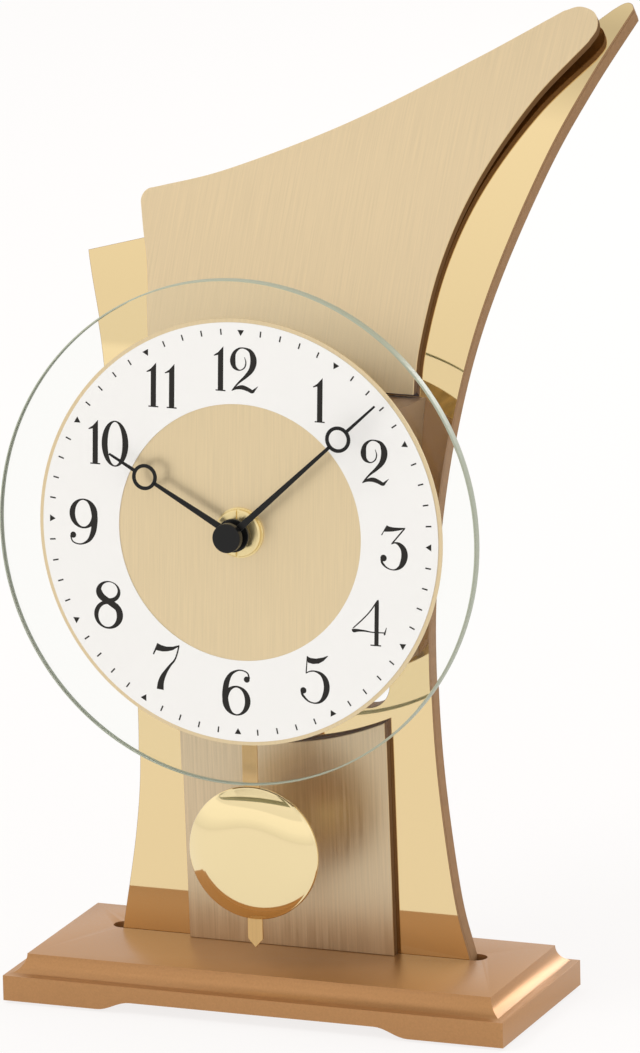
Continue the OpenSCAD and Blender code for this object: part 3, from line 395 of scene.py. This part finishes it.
def panelPair(name, outline, surface, skinPaint, square=None):
    # a painted board with a thin brushed skin on its front
    carrier = plate(name + "Board", outline, [], surface, sh["skinBack"], sh["panelBack"], [panelEdge], step,
                    sh["panelEdge"], square)
    skin = plate(name + "Skin", outline, [], surface, 0, sh["skinBack"], [skinPaint], step, sh["panelEdge"], square)
    return carrier, skin


upperBoard, upperSkin = panelPair("upperPanel", panelOutline, panelLine, champagne, sh["squareOff"])
lowerBoard, lowerSkin = panelPair("lowerPanel", lowOutline, lowLine, bronzeBrushed)
for obj, node in ((mirror, "back_mirror"), (board, "back_board"), (upperBoard, "upper_board"),
                  (upperSkin, "upper_skin"), (lowerBoard, "lower_board"), (lowerSkin, "lower_skin")):
    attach(obj, "clock")
    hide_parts(node)
print("bent sheets made")

# pieces in the dial's own frame: across, up, and out of the dial
dial = dict(centre=(-4.0, -60.3, 168.9), lean=4.6)
leanAngle = math.radians(dial["lean"])
dialAcross = np.array([1.0, 0, 0])
dialUp = np.array([0, math.sin(leanAngle), math.cos(leanAngle)])
dialOut = np.array([0, -math.cos(leanAngle), math.sin(leanAngle)])


def onDial(x, y, z):
    # the dial's centre + x across + y up + z out
    x, y, z = np.broadcast_arrays(np.asarray(x, float), np.asarray(y, float), np.asarray(z, float))
    return (np.array(dial["centre"]) + x[..., None] * dialAcross + y[..., None] * dialUp
            + z[..., None] * dialOut).reshape(-1, 3)


def lathe(profile, parts, toWorld, centre=(0, 0)):
    # a closed left-turning profile of (radius, out) turned about an axis through centre: the point (r, z) goes
    # to (r cos a, r sin a, z) for each of the evenly spaced angles a
    p = np.array(profile, float)
    a = np.arange(parts) * 2 * math.pi / parts
    x = centre[0] + np.outer(np.cos(a), p[:, 0])
    y = centre[1] + np.outer(np.sin(a), p[:, 0])
    z = np.broadcast_to(p[:, 1], x.shape)
    n = len(p)
    i, k = np.meshgrid(np.arange(parts), np.arange(n), indexing="ij")
    nextI, nextK = (i + 1) % parts, (k + 1) % n
    faces = np.stack([i * n + k, i * n + nextK, nextI * n + nextK, nextI * n + k], axis=-1).reshape(-1, 4)
    return toWorld(x.ravel(), y.ravel(), z.ravel()), faces.tolist()


def joined(parts):
    # several (points, faces) as one, with each face's numbers moved up by the points before it
    verts, faces, start = [], [], 0
    for v, f in parts:
        verts.append(v)
        faces += [tuple(i + start for i in q) for q in f]
        start += len(v)
    return np.vstack(verts), faces


def outward(obj):
    # the faces of each closed shell are turned to point outwards
    bm = bmesh.new()
    bm.from_mesh(obj.data)
    bmesh.ops.recalc_face_normals(bm, faces=bm.faces)
    bm.to_mesh(obj.data)
    bm.free()
    obj.data.set_sharp_from_angle(angle=math.radians(30))
    return obj


def disc(radius, hole, z0, z1, e):
    # the profile of a flat ring between two heights, with a bevel e on its edges
    return [(hole, z0 + e), (hole + e, z0), (radius - e, z0), (radius, z0 + e), (radius, z1 - e),
            (radius - e, z1), (hole + e, z1), (hole, z1 - e)]


# the glass's rim is round in section, and flat rings just inside it keep the wide faces flat in shading.
# shift is how far the rim lies off the dial's centre, where the bore stays
glassLook = dict(radius=85.0, thick=4.0, bore=4.05, edge=0.55, front=-1.0, shift=(-1.8, -0.6), flatRing=0.1,
                 boreReach=20, parts=256)
dialLook = dict(bore=4.05, plateRadius=71.7, plateBack=-1.0, plateFront=-0.4, plateEdge=0.06, ringRadius=70.4,
                ringInner=43.1, ringEdge=0.05, parts=256)


def onGlass(x, y, z):
    # the dial's frame, with all but the bore moved by the shift
    far = np.hypot(x, y) > glassLook["boreReach"]
    return onDial(x + glassLook["shift"][0] * far, y + glassLook["shift"][1] * far, z)


g = glassLook
z0, z1, e, r = g["front"] - g["thick"], g["front"], g["edge"], g["radius"]
flatRadius = r - e - g["flatRing"]
quarter = np.linspace(0, math.pi / 2, 6)
glassProfile = ([(g["bore"], z0), (flatRadius, z0)]
                + [(r - e + e * math.sin(t), z0 + e - e * math.cos(t)) for t in quarter]
                + [(r - e + e * math.cos(t), z1 - e + e * math.sin(t)) for t in quarter]
                + [(flatRadius, z1), (g["bore"], z1)])
verts, faces = lathe(glassProfile, g["parts"], onGlass)
onRim = np.zeros(len(glassProfile), int)
onRim[2:-3] = 1
glass = outward(build("glassDisc", verts, faces, [clearGlass, edgeGlassPaintedGlow], np.tile(onRim, g["parts"])))
d = dialLook
verts, faces = lathe(disc(d["plateRadius"], d["bore"], d["plateBack"], d["plateFront"], d["plateEdge"]), d["parts"],
                     onDial)
dialPlate = outward(build("dialPlate", verts, faces, [goldDial]))
verts, faces = lathe(disc(d["ringRadius"], d["ringInner"], d["plateFront"], 0, d["ringEdge"]), d["parts"], onDial)
chapterRing = outward(build("chapterRing", verts, faces, [silverDial]))
for obj, node in ((glass, "glass_disc"), (dialPlate, "dial_plate"), (chapterRing, "chapter_ring")):
    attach(obj, "clock")
    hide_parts(node)
print("dial made")


# numerals, in millimetres: strokes of (x, y, half width), rings between two ellipses, and filled outlines
printLook = dict(numeralRadius=54.0, markRadius=67.3, tickLong=2.0, tickWide=0.5, triangle=1.35, lift=0.02,
                 liftStep=0.0015)


def stroke(points, steps=8):
    # the curve through the points, with its two sides at the half width square to its direction
    p = np.array(points, float)
    c = np.vstack([curve(p, steps), p[-1]]) if len(p) > 2 else p
    along = np.gradient(c[:, :2], axis=0)
    along /= np.maximum(np.linalg.norm(along, axis=1), 1e-9)[:, None]
    side = np.column_stack([-along[:, 1], along[:, 0]])
    left, right = c[:, :2] + side * c[:, 2:], c[:, :2] - side * c[:, 2:]
    n = len(c)
    return np.vstack([left, right]), [(i, i + n, i + n + 1, i + 1) for i in range(n - 1)]


def ellipse(cx, cy, rx, ry, n=64):
    # (cx + rx cos a, cy + ry sin a) at even angles
    a = np.arange(n) * 2 * math.pi / n
    return np.column_stack([cx + rx * np.cos(a), cy + ry * np.sin(a)])


def bowl(outer, inner):
    # the ring between two ellipses
    points = np.vstack([ellipse(*outer), ellipse(*inner)])
    n = len(points) // 2
    return points, [(i, (i + 1) % n, (i + 1) % n + n, i + n) for i in range(n)]


def filled(points):
    # the outline as one flat face
    return np.array(points, float), [tuple(range(len(points)))]


def ball(cx, cy, r):
    # a filled circle
    return filled(ellipse(cx, cy, r, r, 24))


def bar(x0, x1, y0, y1):
    # a filled upright rectangle
    return filled([(x0, y0), (x1, y0), (x1, y1), (x0, y1)])


six = [stroke([(3.9, 5.0, 0.3), (3.3, 6.8, 0.24), (1.6, 7.6, 0.22), (-0.4, 7.5, 0.28), (-2.7, 6.1, 0.6),
               (-4.1, 3.5, 0.95), (-4.65, 0.2, 1.05), (-4.6, -2.5, 1.05), (-3.7, -5.4, 0.85), (-2.2, -7.0, 0.4),
               (-0.6, -7.55, 0.2)]),
       bowl((-0.65, -2.72, 5.05, 5.05), (-0.63, -2.8, 3.02, 4.5)), ball(3.0, 4.7, 1.05)]
digits = {
    "0": [bowl((2.1, -0.25, 4.8, 7.75), (2.1, -0.25, 2.65, 7.3))],
    "1": [filled([(0, 0.2), (1.9, 0.2), (1.9, 15), (0, 12.9), (-1.55, 11.9), (-1.4, 11.6), (0, 12.0)]),
          bar(-0.8, 2.75, 0, 0.42)],
    "2": [stroke([(1.15, 4.4, 0.08), (1.66, 2.6, 0.22), (1.1, 0.8, 0.22), (-0.6, -0.08, 0.22), (-2.4, 0.9, 0.7),
                  (-3.0, 3.0, 0.98), (-2.5, 5.5, 0.65), (-0.9, 7.1, 0.32), (0.9, 7.42, 0.23), (3.1, 6.6, 0.6),
                  (4.2, 4.6, 1.05), (4.3, 2.4, 1.12), (3.5, 0.1, 0.9), (1.7, -2.0, 0.6), (-0.65, -4.1, 0.35),
                  (-2.3, -5.9, 0.25), (-3.3, -7.1, 0.12)]),
          stroke([(-3.3, -7.1, 0.1), (-1.7, -6.15, 0.45), (0.4, -5.75, 0.75), (2.4, -6.3, 0.68), (3.95, -6.95, 0.6),
                  (4.8, -6.3, 0.36), (6.0, -5.1, 0.06)])],
    "3": [filled([(-3.75, 3.0), (-3.4, 2.9), (-2.7, 4.2), (-1.6, 4.25), (0.3, 4.45), (2.6, 4.95), (4.6, 5.6),
                  (4.85, 6.0), (2.6, 5.9), (0.6, 5.85), (-0.9, 6.05), (-1.8, 6.4)]),
          stroke([(4.55, 5.75, 0.25), (0.1, 0.35, 0.25)]),
          stroke([(-0.15, 0.2, 0.12), (1.3, 0.75, 0.27), (2.9, 0.2, 0.66), (4.2, -1.3, 1.0), (4.6, -3.4, 1.15),
                  (4.1, -5.6, 1.02), (2.9, -7.4, 0.6), (0.9, -8.35, 0.22), (-1.4, -7.9, 0.25), (-3.1, -6.5, 0.4),
                  (-3.65, -5.0, 0.32)]), ball(-2.8, -4.65, 1.13)],
    "4": [filled([(1.45, -7.2), (2.95, -7.2), (2.95, 7.7), (2.75, 8.3), (2.4, 8.0), (1.45, 6.4)]),
          bar(0.1, 3.85, -7.4, -6.98),
          stroke([(2.5, 8.0, 0.22), (0, 4.3, 0.22), (-2.6, 1.4, 0.22), (-6.15, -2.0, 0.2)]),
          stroke([(-6.45, -2.3, 0.2), (-5.8, -2.75, 0.62), (-4.4, -2.58, 0.46), (-1.9, -2.6, 0.28), (0.8, -2.85, 0.2),
                  (4.9, -2.75, 0.2)]),
          filled([(5.6, -0.9), (4.95, -2.6), (4.7, -3.3), (4.9, -3.65), (5.35, -3.3), (5.8, -1.0)])],
    "5": [filled([(-2.65, 7.2), (-2.3, 4.95), (-0.5, 4.6), (1.6, 4.9), (3.3, 5.9), (4.9, 7.65), (4.8, 7.8),
                  (3.0, 7.05), (0.6, 6.5), (-1.5, 6.6)]), stroke([(-2.5, 7.0, 0.2), (-2.85, 1.5, 0.2)]),
          stroke([(-3.0, 1.3, 0.16), (-1.5, 2.05, 0.22), (0.3, 2.2, 0.27), (2.5, 1.4, 0.58), (4.0, -0.5, 0.95),
                  (4.5, -3.1, 1.05), (3.9, -5.7, 0.92), (2.4, -7.8, 0.5), (0.3, -8.55, 0.24), (-2.0, -8.0, 0.28),
                  (-3.9, -6.3, 0.42), (-4.5, -4.9, 0.34)]), ball(-3.8, -4.55, 1.08)],
    "6": six,
    "7": [filled([(-3.75, 3.5), (-3.3, 3.35), (-2.5, 4.9), (-1.6, 4.75), (-0.2, 4.6), (1.6, 4.8), (3.4, 5.3),
                  (5.3, 6.5), (5.95, 7.3), (3.4, 6.5), (1.2, 6.35), (-0.6, 6.7), (-2.15, 7.35)]),
          stroke([(5.65, 7.0, 0.25), (5.05, 4.4, 0.26), (4.1, 2.0, 0.3), (2.45, 0.0, 0.42), (1.05, -2.0, 0.62),
                  (-0.1, -4.0, 0.9), (-0.75, -6.0, 1.08), (-1.0, -8.3, 1.25)])],
    "8": [bowl((-0.1, 3.5, 4.4, 3.7), (0.3, 4.1, 2.95, 2.7)), bowl((0.07, -4.15, 5.2, 4.85), (-0.3, -4.5, 3.3, 3.85)),
          stroke([(-3.6, 4.6, 0.7), (-2.4, 2.0, 1.0), (0.2, 0.2, 1.0), (3.3, -1.9, 1.0), (4.3, -4.4, 0.8)])],
    "9": [(-v + (-1.3, 0.1), f) for v, f in six],
}
# each hour's digits, with their places from the point at the numeral radius
hours = {1: [("1", 0.28, -7.8)], 10: [("1", -5.95, -7.6), ("0", 0, 0)], 11: [("1", -4.95, -6.7), ("1", 1.6, -6.7)],
         12: [("1", -8.0, -6.85), ("2", 0.27, 0.6)], 9: [("9", -1.25, -0.45)]}


def numeral(hour):
    # the hour's digits, upright, round the point at 30 degrees an hour on the numeral radius
    a = math.radians(30 * hour)
    centre = np.array([math.sin(a), math.cos(a)]) * printLook["numeralRadius"]
    places = hours.get(hour, [(str(hour), 0, 0)])
    return [(v + centre + (x, y), f) for digit, x, y in places for v, f in digits[digit]]


printed = [shape for hour in range(1, 13) for shape in numeral(hour)]
for minute in range(60):
    a = math.radians(6 * minute)
    out, across = np.array([math.sin(a), math.cos(a)]), np.array([math.cos(a), -math.sin(a)])
    c, t = out * printLook["markRadius"], printLook["triangle"]
    if minute % 5:
        h, w = printLook["tickLong"] / 2, printLook["tickWide"] / 2
        corners = [c - out * h - across * w, c - out * h + across * w, c + out * h + across * w,
                   c + out * h - across * w]
    else:
        # a triangle that points to the centre, and is t long from its middle to its tip
        corners = [c - out * t, c + out * t / 2 + across * t * 0.87, c + out * t / 2 - across * t * 0.87]
    printed.append(filled(corners))
# shapes that cross lie at slightly different heights
verts, faces = joined([(onDial(v[:, 0], v[:, 1], printLook["lift"] + printLook["liftStep"] * (k % 5)), f)
                       for k, (v, f) in enumerate(printed)])
dialPrint = build("dialPrint", verts, faces, [printInk])
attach(dialPrint, "clock")
print("numerals made")


# hands: (length, middle of the ring, angle from 12, height) and hubs of (radius, bore, below, above)
handLook = dict(hour=(50.7, 36.2, 298.6, 5.2), minute=(69.5, 52.0, 47.1, 8.5), hourHub=(5.6, 2.54, -0.5, 1.0),
                minuteHub=(4.2, 1.52, -0.1, 0.9), ring=4.4, ringHole=3.2, ringEdge=0.12, overlap=0.3, width=2.4,
                tip=0.7, thick=0.6, edge=0.1, hubEdge=0.15)
capLook = dict(radius=4.9, back=9.5, top=12.1, bore=1.52, boreTop=10.75, edge=0.45, parts=128)


def prism(points, z0, z1, e, toWorld):
    # the outline carried from z0 to z1, and inset by e at both ends for a bevel
    p = cleaned(np.array(points, float))
    n, small = len(p), inset(p, e)
    rings = [(small, z0), (p, z0 + e), (p, z1 - e), (small, z1)]
    verts = np.vstack([toWorld(q[:, 0], q[:, 1], z) for q, z in rings])
    faces = [tuple(range(n))[::-1], tuple(range(3 * n, 4 * n))]
    i = np.arange(n)
    j = (i + 1) % n
    for start in (0, n, 2 * n):
        faces += np.stack([start + i, start + j, start + n + j, start + n + i], axis=1).tolist()
    return verts, faces


def hand(name, place, hub, node, body):
    # a tapering blade with a ring in it, turned clockwise by the angle: (x cos a + y sin a, y cos a - x sin a)
    length, ringAt, angle, z = place
    h, a = handLook, math.radians(angle)

    def turnedOnDial(x, y, z):
        # the dial's frame turned by the hand's angle
        return onDial(x * math.cos(a) + y * math.sin(a), -x * math.sin(a) + y * math.cos(a), z)

    w, tip, top = h["width"] / 2, h["tip"] / 2, z + h["thick"]
    at = w + (tip - w) * ringAt / length  # the blade's half width at the ring
    below, above = ringAt - (h["ring"] + h["ringHole"]) / 2, ringAt + h["ring"] - h["overlap"]
    radius, bore, hubLow, hubHigh = hub
    parts = [prism([(-w, 0), (w, 0), (at, below), (-at, below)], z, top, h["edge"], turnedOnDial),
             prism([(-at, above), (at, above), (tip, length), (-tip, length)], z, top, h["edge"], turnedOnDial),
             lathe(disc(h["ring"], h["ringHole"], z, top, h["ringEdge"]), 64, turnedOnDial, (0, ringAt)),
             lathe(disc(radius, bore, z + hubLow, z + hubHigh, h["hubEdge"]), 96, onDial)]
    verts, faces = joined(parts)
    obj = outward(build(name, verts, faces, [blackSatin]))
    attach(obj, body)
    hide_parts(node)


hand("hourHand", handLook["hour"], handLook["hourHub"], "hour_hand", "hour_work")
hand("minuteHand", handLook["minute"], handLook["minuteHub"], "minute_hand", "minute_work")
c, onAxis = capLook, 0.001
roundFrom = (c["radius"] - c["edge"], c["top"] - c["edge"])
capProfile = ([(onAxis, c["boreTop"]), (c["bore"], c["boreTop"]), (c["bore"], c["back"]), (c["radius"], c["back"])]
              + [(roundFrom[0] + c["edge"] * math.cos(t), roundFrom[1] + c["edge"] * math.sin(t))
                 for t in np.linspace(0, 1.57, 6)] + [(onAxis, c["top"])])
verts, faces = lathe(capProfile, c["parts"], onDial)
cap = outward(build("handCap", verts, faces, [blackSatin]))
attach(cap, "minute_work")
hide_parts("hand_cap")
print("hands made")


# pendulum: a pressed bob on a flat rod with a pointed foot
bobLook = dict(x=-4.0, z=56.8, front=-55.0, radius=23.0, crown=3.6, skirt=2.0, edge=0.35, rim=0.15, belly=1.75,
               parts=192)
rodLook = dict(half=2.7, top=122.5, shoulder=26.9, foot=23.9, back=-54.0, thick=0.8, edge=0.1)


def onBob(x, y, z):
    # upright, with z to the front
    b = np.broadcast_arrays(x, y, z)
    return np.column_stack([bobLook["x"] + b[0], bobLook["front"] - b[2], bobLook["z"] + b[1]])


# the dome's height is crown (1 - q^3), where q is the radius over the bob's own
b = bobLook
r, crown, skirt, domeEdge = b["radius"], b["crown"], b["skirt"], 0.985
domeLine = [(r * q, crown * (1 - q ** 3)) for q in np.linspace(0.0001, domeEdge, 48)]
bobProfile = [(onAxis, -skirt), (r - b["edge"], -skirt), (r, b["edge"] - skirt), (r, -b["rim"])] + domeLine[::-1]
verts, faces = lathe(bobProfile, b["parts"], onBob)
bob = outward(build("bob", verts, faces, [bobGold]))
# the dome is shaded deeper than it is: its normal's angle is belly times the slope's, arctan(3 crown / r q^2)
around = verts - np.array([b["x"], 0, b["z"]])
reach = np.hypot(around[:, 0], around[:, 2])
slope = b["belly"] * np.arctan(3 * crown / r * (reach / r) ** 2)
normal = np.column_stack([around[:, 0] / reach * np.sin(slope), -np.cos(slope), around[:, 2] / reach * np.sin(slope)])
normal[(verts[:, 1] > b["front"] + 0.1) | (reach > 0.984 * r)] = 0
bob.data.normals_split_custom_set_from_vertices(normal.tolist())
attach(bob, "pendulum")
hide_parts("bob_shell", "bob_back")


def onRod(x, y, z):
    # upright, with z to the front from the rod's back
    return np.column_stack(np.broadcast_arrays(bobLook["x"] + x, rodLook["back"] - z, y))


q = rodLook
rodOutline = [(-q["half"], q["top"]), (q["half"], q["top"]), (q["half"], q["shoulder"]), (0, q["foot"]),
              (-q["half"], q["shoulder"])]
verts, faces = prism(rodOutline, 0, q["thick"], q["edge"], onRod)
rod = outward(build("rod", verts, faces, [rodBronze]))
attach(rod, "pendulum")
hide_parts("pendulum_rod")
print("pendulum made")


# CAD solids with their edges softened
softLook = dict(weld=2e-6, flat=0.003, hard=32, smooth=26, segments=2, profile=0.6)


def softened(node, body, mat, width):
    # a merged copy of the solid, with a bevel on each edge that turns by more than hard degrees
    k = softLook
    mesh = nodes[node].data.copy()
    bm = bmesh.new()
    bm.from_mesh(mesh)
    bmesh.ops.remove_doubles(bm, verts=bm.verts, dist=k["weld"])
    bmesh.ops.dissolve_limit(bm, angle_limit=k["flat"], verts=bm.verts, edges=bm.edges)
    hard = [q for q in bm.edges if len(q.link_faces) == 2 and q.calc_face_angle() > math.radians(k["hard"])]
    bmesh.ops.bevel(bm, geom=hard, offset=width * mm, segments=k["segments"], profile=k["profile"], affect="EDGES",
                    clamp_overlap=True)
    bm.to_mesh(mesh)
    bm.free()
    mesh.name = node + "Soft"
    mesh.materials.clear()
    mesh.materials.append(mat)
    mesh.polygons.foreach_set("use_smooth", np.ones(len(mesh.polygons), bool))
    mesh.set_sharp_from_angle(angle=math.radians(k["smooth"]))
    obj = bpy.data.objects.new(node + "Soft", mesh)
    scene.collection.objects.link(obj)
    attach(obj, body)
    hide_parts(node)


softened("base_plinth", "clock", basePaint, 0.35)
softened("box_frame", "clock", boxBronze, 0.25)
softened("box_front", "clock", boxBronze, 0.2)
softened("hub_nut", "clock", nutBrass, 0.12)
solidLooks = {
    "felt_pads": greyFelt, "board_screws": steel, "panel_screws": steel, "box_screws": steel,
    "rubber_washer": blackRubber, "centre_bush": brassShine, "movement_case": whitePlastic,
    "movement_cover": whitePlastic, "battery": batteryWrap, "battery_contacts": steel,
    "circuit_board": greenBoard, "quartz_crystal": steel, "step_coil": copperWire, "stator": steel,
    "step_rotor": blackPlastic, "step_wheel": whitePlastic, "second_wheel": whitePlastic,
    "third_wheel": whitePlastic, "centre_wheel": whitePlastic, "minute_shaft": steel,
    "minute_wheel": whitePlastic, "hour_wheel": whitePlastic, "setting_knob": blackPlastic,
    "drive_case": whitePlastic, "drive_coil": copperWire, "pivot_pin": steel,
    "pendulum_leader": blackPlastic, "leader_magnet": steel,
}
for node, mat in solidLooks.items():
    nodes[node].data.materials.clear()
    nodes[node].data.materials.append(mat)
print("solids dressed")

# studio. sky: (sine of the elevation, brightness), from straight down to straight up
studio = dict(sky=((-1.0, 0.75), (-0.1, 0.75), (0.02, 0.95), (0.2, 1.12), (0.44, 1.16), (0.46, 0.98), (0.6, 1.0),
                   (0.85, 1.1), (0.9, 0.72), (0.925, 0.7), (0.945, 1.1), (1.0, 1.1)),
              skyTint=(1, 0.985, 0.96), key=16.0, fill=3.0, rear=12.0, page=(255, 253, 252), floorGlow=0.83,
              floorPaper=0.12, floorPlain=(0.8, 0.79, 0.78), floorHalf=6000, floorLevel=-0.6)
world = bpy.data.worlds.new("studio")
scene.world = world
world.use_nodes = True
t = world.node_tree
t.nodes.clear()
output = t.nodes.new("ShaderNodeOutputWorld")
coord = t.nodes.new("ShaderNodeTexCoord")
split = t.nodes.new("ShaderNodeSeparateXYZ")
t.links.new(coord.outputs["Generated"], split.inputs["Vector"])
lift = t.nodes.new("ShaderNodeMapRange")
lift.inputs["From Min"].default_value = -1
t.links.new(split.outputs["Z"], lift.inputs["Value"])
ramp = t.nodes.new("ShaderNodeValToRGB")
t.links.new(lift.outputs["Result"], ramp.inputs["Fac"])
levels = [((z + 1) / 2, value) for z, value in studio["sky"]]
ramp.color_ramp.elements[0].position = levels[0][0]
ramp.color_ramp.elements[1].position = levels[-1][0]
for at, _ in levels[1:-1]:
    ramp.color_ramp.elements.new(at)
for element, (_, value) in zip(sorted(ramp.color_ramp.elements, key=lambda q: q.position), levels):
    element.color = (*(value * c for c in studio["skyTint"]), 1)
skyLight = t.nodes.new("ShaderNodeBackground")
t.links.new(ramp.outputs["Color"], skyLight.inputs["Color"])
page = t.nodes.new("ShaderNodeBackground")
page.inputs["Color"].default_value = (*lin(*studio["page"]), 1)
mixed(t, seenBy(t, ["Is Camera Ray", "Is Transmission Ray"]), skyLight.outputs["Background"],
      page.outputs["Background"], output)


def softbox(name, place, aim, size, power, seenInGloss):
    # a rectangular lamp at place, turned to aim
    light = bpy.data.lights.new(name, "AREA")
    light.shape = "RECTANGLE"
    light.size, light.size_y = size
    light.energy = power
    obj = bpy.data.objects.new(name, light)
    scene.collection.objects.link(obj)
    obj.location = place
    obj.rotation_euler = (Vector(aim) - Vector(place)).to_track_quat("-Z", "Y").to_euler()
    obj.visible_glossy = seenInGloss
    obj.visible_camera = False
    obj.visible_transmission = False


softbox("key", (-0.8, -1.0, 1.8), (0, 0, 0.17), (0.7, 0.7), studio["key"], False)
softbox("fill", (1.5, -0.9, 0.7), (0, 0, 0.15), (0.8, 1.0), studio["fill"], False)
softbox("rear", (0.5, 1.6, 0.75), (0, 0, 0.1), (1.2, 0.5), studio["rear"], True)
# the glow is only for what the camera sees, also in metal and through glass: to the object the floor is pale paper
paper = material("floorPaper", (studio["floorPaper"],) * 3, 0.0, 0.9, **{
    "Specular IOR Level": 0.0, "Emission Color": (*lin(*studio["page"]), 1), "Emission Strength": studio["floorGlow"]})
t = paper.node_tree
plain = t.nodes.new("ShaderNodeBsdfDiffuse")
plain.inputs["Color"].default_value = (*studio["floorPlain"], 1)
mixed(t, seenBy(t, ["Is Camera Ray", "Is Glossy Ray", "Is Transmission Ray"]), plain.outputs["BSDF"],
      t.nodes["Principled BSDF"].outputs["BSDF"], t.nodes["Material Output"])
half, level = studio["floorHalf"], studio["floorLevel"]
floor = build("floor", [(-half, -half, level), (half, -half, level), (half, half, level), (-half, half, level)],
              [(0, 1, 2, 3)], [paper])

# camera: looks at the target from an azimuth and an elevation, and is turned a little about its own axis
shot = dict(azimuth=21.728, elevation=14.659, roll=-1.277, distance=3.476131, target=(0.011911, -0.028, 0.164125),
            focal=356.54, sensor=36, farthest=20)
az, el, roll = (math.radians(shot[k]) for k in ("azimuth", "elevation", "roll"))
back = Vector((math.sin(az) * math.cos(el), -math.cos(az) * math.cos(el), math.sin(el)))
level = Vector((math.cos(az), math.sin(az), 0))
upright = back.cross(level)
right = level * math.cos(roll) + upright * math.sin(roll)
up = upright * math.cos(roll) - level * math.sin(roll)
camera = bpy.data.objects.new("camera", bpy.data.cameras.new("camera"))
scene.collection.objects.link(camera)
camera.data.lens = shot["focal"]
camera.data.sensor_width = shot["sensor"]
camera.data.clip_end = shot["farthest"]
camera.matrix_world = Matrix.Translation(Vector(shot["target"]) + back * shot["distance"]) @ Matrix(
    (right, up, back)).transposed().to_4x4()
scene.camera = camera
scene.view_settings.view_transform = "Standard"
print("studio and camera made")
